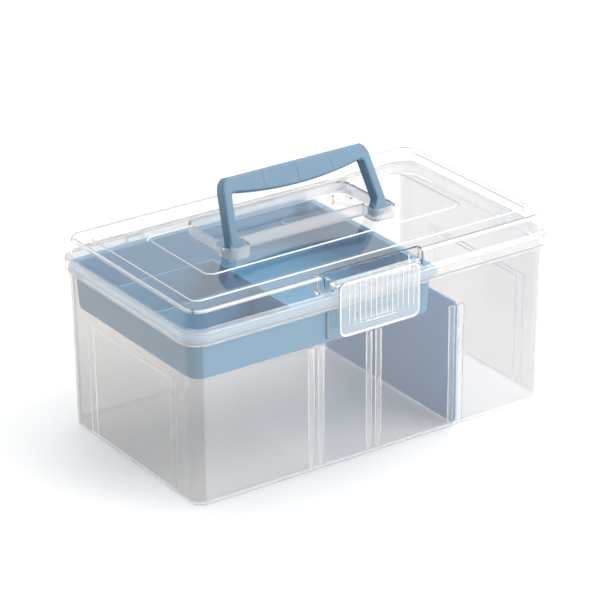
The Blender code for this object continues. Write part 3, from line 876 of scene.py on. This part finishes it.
    def add_fittings(self, item: bpy.types.Object) -> None:
        """Add the hinge lugs behind, and the catch and guard ribs in front.

        Args:
            item: the box with its walls.
        """
        axis_y, low_z = HINGE_AXIS[0], self.lug_heights[0]
        lugs, rounds, holes = [], [], []
        for low_x in (centre + start for centre in HINGE_CENTRES for start in self.lug_starts):
            high_x = low_x + self.lug_width
            lug = block("lug", (low_x + self.lug_inset, self.root, low_z),
                        (high_x - self.lug_inset, axis_y, self.lug_heights[1]))
            round_edges(lug, 4.0, 4, lambda edge: along(0)(edge)
                        and edge.verts[0].co.y > (axis_y - 0.4) * MM
                        and edge.verts[0].co.z < (low_z + 0.7) * MM)
            lugs.append(lug)
            rounds.append(rod("lug_round", (low_x, high_x), HINGE_AXIS, HINGE_RADIUS))
            holes.append(rod("lug_hole", (low_x - 1.0, high_x + 1.0), HINGE_AXIS, self.lug_hole))
        catch = block("catch", (self.catch_x[0], self.catch_face, self.catch_heights[0]),
                      (self.catch_x[1], -self.root, self.catch_heights[1]))
        round_edges(catch, 0.8, 2, lambda edge: along(0)(edge)
                    and edge.verts[0].co.y < (self.catch_face + 0.3) * MM)
        guards = []
        for low_x in self.guard_starts:
            guard = block("guard", (low_x, self.guard_face, self.guard_heights[0]),
                          (low_x + self.lug_width, -self.root, self.guard_heights[1]))
            round_edges(guard, 1.0, 3, lambda edge: upright(edge)
                        and edge.verts[0].co.y < (self.guard_face + 0.4) * MM)
            guards.append(guard)
        combine(item, gather(lugs + [catch] + guards), Join.FUSE)
        combine(item, gather(rounds), Join.FUSE)
        combine(item, gather(holes), Join.CUT)


@dataclass
class DomedLid:
    """The clear lid: skirt, dome, lines in its top, handle recess, latch notch and knuckles."""

    half_x: float = 165.0
    half_y: float = 93.5
    radius: float = 18.0
    skirt: Span = (131.0, 142.0)
    shoulder: Span = (1.5, 1.4)
    lean: float = 1.3
    top: float = 157.0
    top_round: float = 2.5
    wall: float = 1.8
    recess_floor: float = 146.8
    recess_wall: float = 1.5
    pan: tuple[Span, Span] = ((-72.4, 8.0), (72.4, 56.8))
    left_cup: tuple[Span, Span] = ((-76.2, -8.2), (-56.7, 9.5))
    right_cup: tuple[Span, Span] = ((56.7, -8.2), (76.2, 9.5))
    pin_hole_x: Span = (75.2, 78.7)
    gate_y: float = 31.4
    line_depth: float = 0.75
    line_slope: float = 0.8
    line_frames: tuple[tuple[Span, Span, float, float], ...] = (
        ((-152.5, 152.5), (-77.0, 77.0), 11.5, 5.2),
        ((-117.5, 117.5), (-42.0, 47.5), 11.0, 4.2))
    notch: Span = (-48.5, 41.5)
    notch_back: float = -82.5
    notch_floor: float = 143.4
    latch_lug_starts: Span = (-43.0, 33.0)
    latch_lug_width: float = 3.0
    lug_inset: float = 0.25
    knuckle_half: float = 7.0
    pin_half: float = 10.4

    def build(self, palette: Palette) -> bpy.types.Object:
        """Make the lid and dress it.

        Args:
            palette: the finishes.

        Returns:
            The finished piece.
        """
        item = self.dome()
        self.add_handle_recess(item)
        self.add_latch_notch(item)
        self.add_knuckles(item)
        for across, deep, radius, width in self.line_frames:
            combine(item, self.channel(across, deep, radius, width), Join.CUT)
        finish_surface(item)
        # The recess walls, line slopes and rounded rim take painted highlight finishes.
        dress(item, palette.lid, (palette.skirt, lambda p, n: p.z < self.skirt[1] + 1.0),
              (palette.pan, self.on_pan_wall), (palette.bend_highlight, self.on_line_slope),
              (palette.dome_edge, self.on_rounded_rim))
        return item

    def on_pan_wall(self, p: Vector, n: Vector) -> bool:
        """True for the upright walls of the recess and its foot cups."""
        recess = abs(p.x) < 80.0 and -11.0 < p.y < 60.0
        return self.recess_floor - 1.0 < p.z < self.top - 0.1 and recess and abs(n.z) < 0.9

    def on_rounded_rim(self, p: Vector, n: Vector) -> bool:
        """True for the rounded edge all round the top of the dome."""
        outside = abs(p.x) > self.half_x - 8.0 or abs(p.y) > self.half_y - 9.5
        return outside and p.z > self.top - self.top_round - 0.2 and 0.08 < abs(n.z) < 0.97

    def on_line_slope(self, p: Vector, n: Vector) -> bool:
        """True for the sloping sides of the lines, which take the painted highlight finish."""
        (_, far_x), (near_y, far_y) = self.line_frames[0][:2]
        inside = abs(p.x) < far_x + 0.5 and near_y - 0.5 < p.y < far_y + 0.5
        return inside and self.top - self.line_depth - 0.05 < p.z < self.top - 0.02 and 0.02 < n.z < 0.95

    def dome(self) -> bpy.types.Object:
        """Make the skirt, shoulder and dome as one walled skin.

        Returns:
            The skin with its wall, open underneath.
        """
        item = block("lid_clear", (-self.half_x, -self.half_y, self.skirt[0]),
                     (self.half_x, self.half_y, self.skirt[1]))
        round_edges(item, self.radius, 12, upright)
        round_edges(item, 2.5, 4, at_height(self.skirt[1]))
        inset_top(item, *self.shoulder)
        inset_top(item, self.lean, self.top - self.skirt[1] - self.shoulder[1])
        round_edges(item, self.top_round, 5, at_height(self.top))
        open_underside(item)
        shell(item, self.wall)
        round_edges(item, 0.5, 2, at_height(self.skirt[0]))
        return item

    def rounded(self, name: str, low: Point, high: Point, radius: float, fillet: float,
                back_only: bool) -> bpy.types.Object:
        """Make a pan: a block with rounded uprights and a rounded underside, in millimetres.

        Args:
            name: the object's name.
            low: its lowest corner.
            high: its highest corner.
            radius: of its uprights.
            fillet: radius round its underside.
            back_only: whether only the uprights at the back are rounded.

        Returns:
            The solid.
        """
        item = block(name, low, high)
        middle = (low[1] + high[1]) / 2 * MM
        round_edges(item, radius, 8, lambda edge: upright(edge)
                    and (not back_only or edge.verts[0].co.y > middle))
        round_edges(item, fillet, 4, at_height(low[2]))
        return item

    def add_handle_recess(self, item: bpy.types.Object) -> None:
        """Add the pan for the folded handle and a cup round each foot, with pin holes.

        Args:
            item: the lid's skin.
        """
        wall, floor = self.recess_wall, self.recess_floor
        joined, over = self.top - 0.9, self.top + 3.0
        spaces = ((*self.pan, 9.0, True), (*self.left_cup, 5.5, False), (*self.right_cup, 5.5, False))
        for low, high, radius, back_only in spaces:
            combine(item, self.rounded("pan_shell", (low[0] - wall, low[1] - wall, floor - wall),
                                       (high[0] + wall, high[1] + wall, joined), radius + wall, 2.0,
                                       back_only), Join.FUSE)
        for low, high, radius, back_only in spaces:
            combine(item, self.rounded("pan_space", (*low, floor), (*high, over), radius, 0.9,
                                       back_only), Join.CUT)
        near, far = self.pin_hole_x
        holes = [rod("pin_hole", (side * near, side * far), HANDLE_AXIS, 2.1) for side in (-1, 1)]
        combine(item, gather(holes), Join.CUT)
        self.add_gate_mark(item)

    def add_gate_mark(self, item: bpy.types.Object) -> None:
        """Add the small ring that the mould's gate leaves on the recess floor.

        Args:
            item: the lid with its recess.
        """
        bpy.ops.object.select_all(action="DESELECT")
        bpy.ops.mesh.primitive_torus_add(
            location=(0.0, self.gate_y * MM, (self.recess_floor + 0.15) * MM),
            major_radius=2.6 * MM, minor_radius=0.55 * MM, major_segments=32, minor_segments=10)
        ring = bpy.context.active_object
        place_in_mesh(ring)
        combine(item, ring, Join.FUSE)

    def add_latch_notch(self, item: bpy.types.Object) -> None:
        """Add the step in the front of the dome, with the latch's two lugs.

        Args:
            item: the lid with its recess.
        """
        (low_x, high_x), floor, wall = self.notch, self.notch_floor, self.wall
        filler = block("notch_filler", (low_x - wall, -87.3, floor - wall),
                       (high_x + wall, self.notch_back + wall, self.top - 0.9))
        combine(item, filler, Join.FUSE)
        space = block("notch_space", (low_x, -104.0, floor), (high_x, self.notch_back, self.top + 3.0))
        round_edges(space, 2.0, 4, lambda edge: upright(edge) and edge.verts[0].co.y > -90.0 * MM)
        combine(item, space, Join.CUT)
        lugs, rounds, holes = [], [], []
        for near in self.latch_lug_starts:
            far = near + self.latch_lug_width
            lugs.append(block("latch_lug", (near + self.lug_inset, LATCH_AXIS[0], floor - wall / 2),
                              (far - self.lug_inset, self.notch_back + wall / 2, LATCH_AXIS[1] + 2.9)))
            rounds.append(rod("latch_lug_round", (near, far), LATCH_AXIS, 3.2))
            holes.append(rod("latch_lug_hole", (near - 1.0, far + 1.0), LATCH_AXIS, 1.7))
        combine(item, gather(lugs), Join.FUSE)
        combine(item, gather(rounds), Join.FUSE)
        combine(item, gather(holes), Join.CUT)

    def add_knuckles(self, item: bpy.types.Object) -> None:
        """Add hinge knuckles behind the skirt, with their arms and stub pins.

        Args:
            item: the lid.
        """
        half, arm_half = self.knuckle_half, self.knuckle_half - 0.25
        arm_back, arm_top = 98.4, 138.0
        arms, knuckles, pins = [], [], []
        for centre in HINGE_CENTRES:
            arm = block("arm", (centre - arm_half, self.half_y - 1.0, HINGE_AXIS[1] + 1.0),
                        (centre + arm_half, arm_back, arm_top))
            round_edges(arm, 3.5, 5, lambda edge: along(0)(edge)
                        and edge.verts[0].co.y > (arm_back - 0.4) * MM
                        and edge.verts[0].co.z > (arm_top - 1.0) * MM)
            arms.append(arm)
            knuckles.append(rod("knuckle", (centre - half, centre + half), HINGE_AXIS, HINGE_RADIUS))
            pins.append(rod("pin", (centre - self.pin_half, centre + self.pin_half), HINGE_AXIS, 1.8))
        for solids in (arms, knuckles, pins):
            combine(item, gather(solids), Join.FUSE)

    def channel(self, across: Span, deep: Span, radius: float, width: float) -> bpy.types.Object:
        """Make a frame-shaped cutter with sloping sides, in millimetres.

        Args:
            across: outer ends along X.
            deep: outer ends along Y.
            radius: plan radius of the outer corners.
            width: width of the channel at the lid's surface.

        Returns:
            The cutter, lowered into the lid's top.
        """
        depth, slope, top, past = self.line_depth, self.line_slope, self.top, 0.5
        outer = block("line_outer", (across[0], deep[0], top), (across[1], deep[1], top + past))
        round_edges(outer, radius, 10, upright)
        with editing(outer, Element.FACE):
            pick(outer, Element.FACE, lambda face: face.normal.z < -SQUARE_ON)
            bpy.ops.mesh.inset(thickness=slope * MM, depth=depth * MM)
        gap = width - slope
        inner = block("line_inner", (across[0] + gap, deep[0] + gap, top - depth - past),
                      (across[1] - gap, deep[1] - gap, top - depth))
        round_edges(inner, radius - gap, 10, upright)
        inset_top(inner, slope, depth)
        with editing(inner, Element.FACE):
            face_up(inner)
            bpy.ops.mesh.extrude_region_move(
                TRANSFORM_OT_translate={"value": (0.0, 0.0, 2 * past * MM)})
        combine(outer, inner, Join.CUT)
        return outer


@dataclass
class CarryHandle:
    """The blue handle, modelled upright round its axis, then leaned back onto its pins."""

    foot: float = 72.0
    lean_in: float = 0.118
    height: float = 52.8
    half_depth: float = 5.5
    leg: float = 7.8
    foot_width: float = 12.8
    flare: float = 9.0
    grip_end: float = 11.8
    grip_middle: float = 17.8
    grip_stops: int = 12
    corner: float = 10.0
    inner_corner: float = 3.0
    edge: float = 1.9
    pin: float = 1.8
    pin_end: float = 77.7
    lean: float = math.radians(25.0)
    score_lines: tuple[float, ...] = (-30.5, 0.0, 31.0)
    score_half: float = 0.35
    score_depth: float = 0.12
    score_drops: Span = (17.0, 2.2)

    @property
    def grip_low(self) -> float:
        """Height of the grip's ends above the axis."""
        return self.height - self.grip_end

    @property
    def gap_half(self) -> float:
        """Half width of the gap between the legs, under the grip."""
        return self.outer(self.grip_low) - self.leg

    def outer(self, height: float) -> float:
        """Half width over the legs at a height above the axis."""
        return self.foot - self.lean_in * height

    def build(self, palette: Palette) -> bpy.types.Object:
        """Make the handle and dress it.

        Args:
            palette: the finishes.

        Returns:
            The finished piece.
        """
        item = self.grip()
        self.grow_legs(item)
        self.round_corners(item)
        self.score(item)
        axis: Span = (0.0, 0.0)
        rounds = [rod("foot", (side * (self.foot - self.foot_width), side * self.foot), axis, self.half_depth)
                  for side in (-1, 1)]
        pins = [rod("pin", (side * (self.foot - 3.0), side * self.pin_end), axis, self.pin)
                for side in (-1, 1)]
        combine(item, gather(rounds), Join.FUSE)
        combine(item, gather(pins), Join.FUSE)
        item.matrix_world = (Matrix.Translation(Vector((0.0, *HANDLE_AXIS)) * MM)
                             @ Matrix.Rotation(-self.lean, 4, "X"))
        place_in_mesh(item)
        finish_surface(item, 40.0)
        dress(item, palette.handle)
        return item

    def grip(self) -> bpy.types.Object:
        """Make the bar across the top, bellied underneath.

        Returns:
            The bar.
        """
        low, inner = self.grip_low, self.gap_half
        item = block("carry_handle", (-self.outer(low), -self.half_depth, low),
                     (self.outer(low), self.half_depth, self.height))
        reshape(item, lambda p: p.z > low + 1.0,
                lambda p: Vector((math.copysign(self.outer(self.height), p.x), p.y, p.z)))
        for step in range(-self.grip_stops, self.grip_stops + 1):
            with editing(item, Element.FACE):
                bpy.ops.mesh.select_all(action="SELECT")
                bpy.ops.mesh.bisect(plane_co=(inner * step / self.grip_stops * MM, 0.0, 0.0),
                                    plane_no=(1.0, 0.0, 0.0))
        sag = self.grip_middle - self.grip_end
        reshape(item, lambda p: p.z < low + 0.1 and abs(p.x) < inner - 0.1,
                lambda p: Vector((p.x, p.y, low - sag * (1.0 - (p.x / inner) ** 2))))
        return item

    def grow_legs(self, item: bpy.types.Object) -> None:
        """Extrude both legs down to their flared feet.

        Args:
            item: the bar of the grip.
        """
        stops = ((self.flare, self.leg), (self.flare / 3, self.foot_width - 0.6), (0.0, self.foot_width))
        last = self.grip_low
        for height, width in stops:
            with editing(item, Element.FACE):
                pick(item, Element.FACE, lambda face: face.normal.z < -0.9
                     and abs(face.calc_center_median().z - last * MM) < 0.1 * MM
                     and abs(face.calc_center_median().x) > self.gap_half * MM)
                bpy.ops.mesh.extrude_region_move(
                    TRANSFORM_OT_translate={"value": (0.0, 0.0, (height - last) * MM)})
            out = self.outer(height)
            middle = out - width / 2 if last < self.grip_low else out - self.leg / 2 - 2.0
            reshape(item, lambda p: abs(p.z - height) < SAME_PLACE,
                    lambda p: Vector((math.copysign(out if abs(p.x) > middle else out - width, p.x),
                                      p.y, p.z)))
            last = height

    def round_corners(self, item: bpy.types.Object) -> None:
        """Round the outer shoulders, the inner corners and every long edge.

        Args:
            item: the grip with its legs.
        """
        round_edges(item, self.corner, 8, lambda edge: along(1)(edge)
                    and edge.verts[0].co.z > (self.height - 0.1) * MM
                    and abs(edge.verts[0].co.x) > (self.outer(self.height) - 0.5) * MM)
        round_edges(item, self.inner_corner, 4, lambda edge: along(1)(edge)
                    and abs(edge.verts[0].co.z - self.grip_low * MM) < 0.1 * MM
                    and abs(abs(edge.verts[0].co.x) - self.gap_half * MM) < 0.3 * MM)
        round_sharp_edges(item, self.edge, 4, clamp=False)

    def score(self, item: bpy.types.Object) -> None:
        """Cut the shallow lines across the face of the grip.

        Args:
            item: the handle, still upright.
        """
        low, high = (self.height - drop for drop in self.score_drops)
        lines = [block("score", (x - self.score_half, -self.half_depth - 1.0, low),
                       (x + self.score_half, -self.half_depth + self.score_depth, high))
                 for x in self.score_lines]
        combine(item, gather(lines), Join.CUT)


@dataclass
class FrontLatch:
    """The clear flap: a bordered plate with finger ribs, its barrel, pins and bead."""

    centre: float = -3.5
    half: float = 36.0
    heights: Span = (109.0, 152.0)
    face: float = -98.2
    back: float = -96.4
    corner: float = 6.0
    border: Span = (1.1, 0.5)
    border_depth: float = 0.7
    arm_heights: Span = (148.2, 151.2)
    bead_half: float = 17.0
    bead_back: float = -93.6
    bead_heights: Span = (115.75, 118.35)
    barrel: float = 2.6
    pin: float = 1.4
    pin_length: float = 3.5
    ribs: int = 13
    rib_half: float = 0.4
    rib_span: Span = (-31.0, 27.0)
    rib_heights: Span = (118.3, 149.0)

    def build(self, palette: Palette) -> bpy.types.Object:
        """Make the latch and dress it.

        Args:
            palette: the finishes.

        Returns:
            The finished piece.
        """
        low_x, high_x = self.centre - self.half, self.centre + self.half
        item = block("front_latch_clear", (low_x, self.face, self.heights[0]),
                     (high_x, self.back, self.heights[1]))
        round_edges(item, self.corner, 8, along(1))
        with editing(item, Element.FACE):
            pick(item, Element.FACE, lambda face: face.normal.y < -SQUARE_ON)
            bpy.ops.mesh.inset(thickness=self.border[0] * MM, depth=0.0)
            bpy.ops.mesh.inset(thickness=self.border[1] * MM, depth=-self.border_depth * MM)
        arm = block("latch_arm", (low_x + self.corner, self.face + 0.9, self.arm_heights[0]),
                    (high_x - self.corner, LATCH_AXIS[0], self.arm_heights[1]))
        bead = block("bead", (self.centre - self.bead_half, self.back - 0.9, self.bead_heights[0]),
                     (self.centre + self.bead_half, self.bead_back, self.bead_heights[1]))
        round_edges(bead, 0.8, 3, lambda edge: along(0)(edge)
                    and edge.verts[0].co.y > (self.bead_back - 0.4) * MM)
        combine(item, gather([arm, bead]), Join.FUSE)
        pins = (low_x - self.pin_length, high_x + self.pin_length)
        combine(item, rod("barrel", (low_x, high_x), LATCH_AXIS, self.barrel), Join.FUSE)
        combine(item, rod("latch_pins", pins, LATCH_AXIS, self.pin), Join.FUSE)
        combine(item, self.finger_ribs(), Join.FUSE)
        finish_surface(item)
        # The front border and the finger ribs take painted highlight finishes.
        dress(item, palette.latch, (palette.milky, lambda p, n: p.y < self.face + 0.6),
              (palette.finger_rib, self.on_finger_rib))
        return item

    def on_finger_rib(self, p: Vector, n: Vector) -> bool:
        """True for the front of the plate where the finger ribs are."""
        (low_x, high_x), (low_z, high_z) = self.rib_span, self.rib_heights
        beside = low_x - 1.0 < p.x < high_x + 1.0
        return p.y < self.face + 0.6 and beside and low_z - 0.1 < p.z < high_z + 0.1

    def finger_ribs(self) -> bpy.types.Object:
        """Make the thin upright ribs on the plate's face.

        Returns:
            All the ribs, flush with the plate's border and rooted in its middle.
        """
        low_x, high_x = self.rib_span
        low_z, high_z = self.rib_heights
        first = block("finger_rib", (low_x - self.rib_half, self.face, low_z),
                      (low_x + self.rib_half, self.face + 1.2, high_z))
        front_most = (self.face + 0.1) * MM
        round_edges(first, 0.3, 2, lambda edge: all(vert.co.y < front_most for vert in edge.verts))
        pitch = (high_x - low_x) / (self.ribs - 1)
        ribs = [copy_to(first, "finger_rib", (pitch * step, 0.0, 0.0)) for step in range(self.ribs)]
        bpy.data.objects.remove(first, do_unlink=True)
        return gather(ribs)


@dataclass
class LiftOutTray:
    """The blue tray with its flange and the walls of its two small cells."""

    along_x: Span = (-157.1, 57.1)
    half_y: float = 84.2
    radius: float = 12.0
    bottom: float = 100.0
    flange_low: float = 132.9
    top: float = 134.9
    wall: float = 1.8
    draft: float = 1.5
    fillet: float = 2.5
    flange_x: Span = (-160.5, 61.1)
    flange_half_y: float = 89.0
    flange_radius: float = 13.5
    cell_x: float = -68.3
    cell_y: float = 27.467
    cell_wall: float = 1.6
    cell_drop: float = 1.4

    def build(self, palette: Palette) -> bpy.types.Object:
        """Make the tray and dress it.

        Args:
            palette: the finishes.

        Returns:
            The finished piece.
        """
        steps = (8, 4)
        item = tub("tray_blue", self.along_x, self.half_y, self.radius,
                   (self.bottom, self.flange_low + 0.5), self.draft, self.fillet, steps)
        plate = block("flange", (self.flange_x[0], -self.flange_half_y, self.flange_low),
                      (self.flange_x[1], self.flange_half_y, self.top))
        round_edges(plate, self.flange_radius, 8, upright)
        round_edges(plate, 0.5, 2, at_height(self.top))
        combine(item, plate, Join.FUSE)
        space = tub("tray_space", (self.along_x[0] + self.wall, self.along_x[1] - self.wall),
                    self.half_y - self.wall, self.radius - self.wall,
                    (self.bottom + self.wall, self.top + 2.0), self.draft, self.fillet, steps)
        combine(item, space, Join.CUT)
        for solid in self.cell_walls():
            combine(item, solid, Join.FUSE)
        finish_surface(item)
        dress(item, palette.tray)
        return item

    def cell_walls(self) -> tuple[bpy.types.Object, bpy.types.Object]:
        """Make the walls of the two small cells.

        Returns:
            The wall across the tray, and the two walls that run to its end.
        """
        half, root = self.cell_wall / 2, 2.4
        low_x, low_y = self.along_x[0] + root, -self.half_y + root
        low_z, high_z = self.bottom + self.wall / 2, self.top - self.cell_drop
        cross = block("cell_end", (self.cell_x, low_y, low_z),
                      (self.cell_x + self.cell_wall, self.cell_y + half, high_z))
        sides = gather([block("cell_side", (low_x, y - half, low_z), (self.cell_x + half, y + half, high_z))
                        for y in (-self.cell_y, self.cell_y)])
        for solid in (cross, sides):
            round_edges(solid, 0.5, 2, lambda edge: at_height(high_z)(edge)
                        and edge.calc_length() > 5.0 * MM)
        return cross, sides


@dataclass
class SlotDivider:
    """The blue plate that stands in one pair of slots."""

    centre: float = 75.5
    thickness: float = 2.6
    half_y: float = 85.6
    heights: Span = (2.7, 103.5)
    corner: float = 4.0
    edge: float = 0.6

    def build(self, palette: Palette) -> bpy.types.Object:
        """Make the divider and dress it.

        Args:
            palette: the finishes.

        Returns:
            The finished piece.
        """
        half = self.thickness / 2
        item = block("divider_blue", (self.centre - half, -self.half_y, self.heights[0]),
                     (self.centre + half, self.half_y, self.heights[1]))
        round_edges(item, self.corner, 6, along(0))
        round_sharp_edges(item, self.edge, 3, clamp=True)
        finish_surface(item)
        dress(item, palette.divider)
        return item


# ---- studio --------------------------------------------------------------------------------------
@dataclass(frozen=True)
class SoftPanel:
    """A square lamp: its name, place and size in metres, and power in watts."""

    name: str
    place: Point
    size: float
    energy: float

    def hang(self, target: Point) -> None:
        """Add the lamp, facing a point in metres.

        Args:
            target: the point.
        """
        bpy.ops.object.select_all(action="DESELECT")
        bpy.ops.object.light_add(type="AREA", location=self.place)
        lamp = bpy.context.active_object
        lamp.name = self.name
        lamp.data.shape = "SQUARE"
        lamp.data.size = self.size
        lamp.data.energy = self.energy
        lamp.rotation_euler = (Vector(target) - Vector(self.place)).to_track_quat("-Z", "Y").to_euler()


@dataclass
class Studio:
    """Floor, soft light and camera."""

    lens: float = 179.07
    sensor: float = 36.0
    yaw: float = math.radians(-34.58992)
    pitch: float = math.radians(24.26311)
    roll: float = math.radians(-0.36798)
    place: Point = (-1199.67, -1737.10, 1040.34)
    target: Point = (0.0, 0.0, 0.08)
    panels: tuple[SoftPanel, ...] = (SoftPanel("key_panel", (1.9, -1.7, 2.2), 2.2, 52.0),
                                     SoftPanel("overhead_panel", (0.3, 0.8, 2.6), 2.6, 26.0))
    surround: Colour = (1.0, 0.995, 0.99)
    brighter_towards: Point = (0.85, -0.3, 0.5)
    world: float = 0.8
    world_range: Span = (0.15, 1.6)
    floor_size: float = 14.0
    floor_drop: float = 0.0003
    bounces: int = 24

    def build(self, palette: Palette) -> None:
        """Set the stage.

        Args:
            palette: the finishes, among them the floor's.
        """
        self.lay_floor(palette)
        self.light_world()
        for panel in self.panels:
            panel.hang(self.target)
        self.set_camera()
        cycles = bpy.context.scene.cycles
        cycles.max_bounces = cycles.transmission_bounces = self.bounces
        view = bpy.context.scene.view_settings
        view.view_transform = "Standard"
        view.look = "None"

    def lay_floor(self, palette: Palette) -> None:
        """Lay a wide pale table top just under the box.

        Args:
            palette: the finishes.
        """
        bpy.ops.object.select_all(action="DESELECT")
        bpy.ops.mesh.primitive_plane_add(size=self.floor_size, location=(0.0, 2.0, -self.floor_drop))
        floor = bpy.context.active_object
        floor.name = "table_top"
        place_in_mesh(floor)
        floor.data.materials.append(palette.table)

    def light_world(self) -> None:
        """Light a soft white surround, brighter towards the right and front."""
        world = bpy.data.worlds.new("soft_surround")
        bpy.context.scene.world = world
        world.use_nodes = True
        desk = NodeDesk(world.node_tree)
        sky = world.node_tree.nodes["Background"]
        sky.inputs["Color"].default_value = (*self.surround, 1.0)
        place = desk.add("ShaderNodeTexCoord")
        towards = desk.add("ShaderNodeVectorMath", operation="DOT_PRODUCT")
        towards.inputs[1].default_value = Vector(self.brighter_towards).normalized()
        desk.join(place.outputs["Generated"], towards.inputs[0])
        level = desk.add("ShaderNodeMapRange")
        level.inputs["From Min"].default_value = -1.0
        level.inputs["From Max"].default_value = 1.0
        level.inputs["To Min"].default_value = self.world_range[0] * self.world
        level.inputs["To Max"].default_value = self.world_range[1] * self.world
        desk.join(towards.outputs["Value"], level.inputs["Value"])
        desk.join(level.outputs["Result"], sky.inputs["Strength"])

    def set_camera(self) -> None:
        """Set the camera from its yaw, pitch, roll and place."""
        data = bpy.data.cameras.new("camera")
        data.lens = self.lens
        data.sensor_width = self.sensor
        data.clip_end = 50.0
        camera = bpy.data.objects.new("camera", data)
        bpy.context.scene.collection.objects.link(camera)
        camera.location = Vector(self.place) * MM
        camera.rotation_euler = (Euler((math.pi / 2 - self.pitch, 0.0, self.yaw), "XYZ").to_matrix()
                                 @ Matrix.Rotation(self.roll, 3, "Z")).to_euler()
        bpy.context.scene.camera = camera


class ArtSupplyBox:
    """The whole box: each piece, the body it rides on, the node it stands for and its slot."""

    pieces = ((BoxBody, "box", "box_body", "clear_body"),
              (DomedLid, "lid", "lid", "clear_lid"),
              (CarryHandle, "handle", "handle", "blue_handle"),
              (FrontLatch, "latch", "front_latch", "clear_latch"),
              (LiftOutTray, "tray", "tray", "blue_tray"),
              (SlotDivider, "divider", "divider", "blue_divider"))

    def build(self, palette: Palette) -> None:
        """Build the pieces in order and set each on its body.

        Args:
            palette: the finishes.
        """
        for maker, body, node, slot in self.pieces:
            item = maker().build(palette)
            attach(item, body)
            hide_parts(node)
            spans = [sorted(vert.co[axis] / MM for vert in item.data.vertices) for axis in range(3)]
            LOG.info("%s: %d faces, from %s to %s mm", item.name, len(item.data.polygons),
                     [round(span[0], 1) for span in spans], [round(span[-1], 1) for span in spans])


def main() -> None:
    """Build the finishes, the box and the studio."""
    logging.basicConfig(level=logging.INFO, format="%(name)s %(message)s")
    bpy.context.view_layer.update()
    palette = Palette()
    ArtSupplyBox().build(palette)
    Studio().build(palette)
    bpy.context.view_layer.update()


if __name__ == "__main__":
    main()
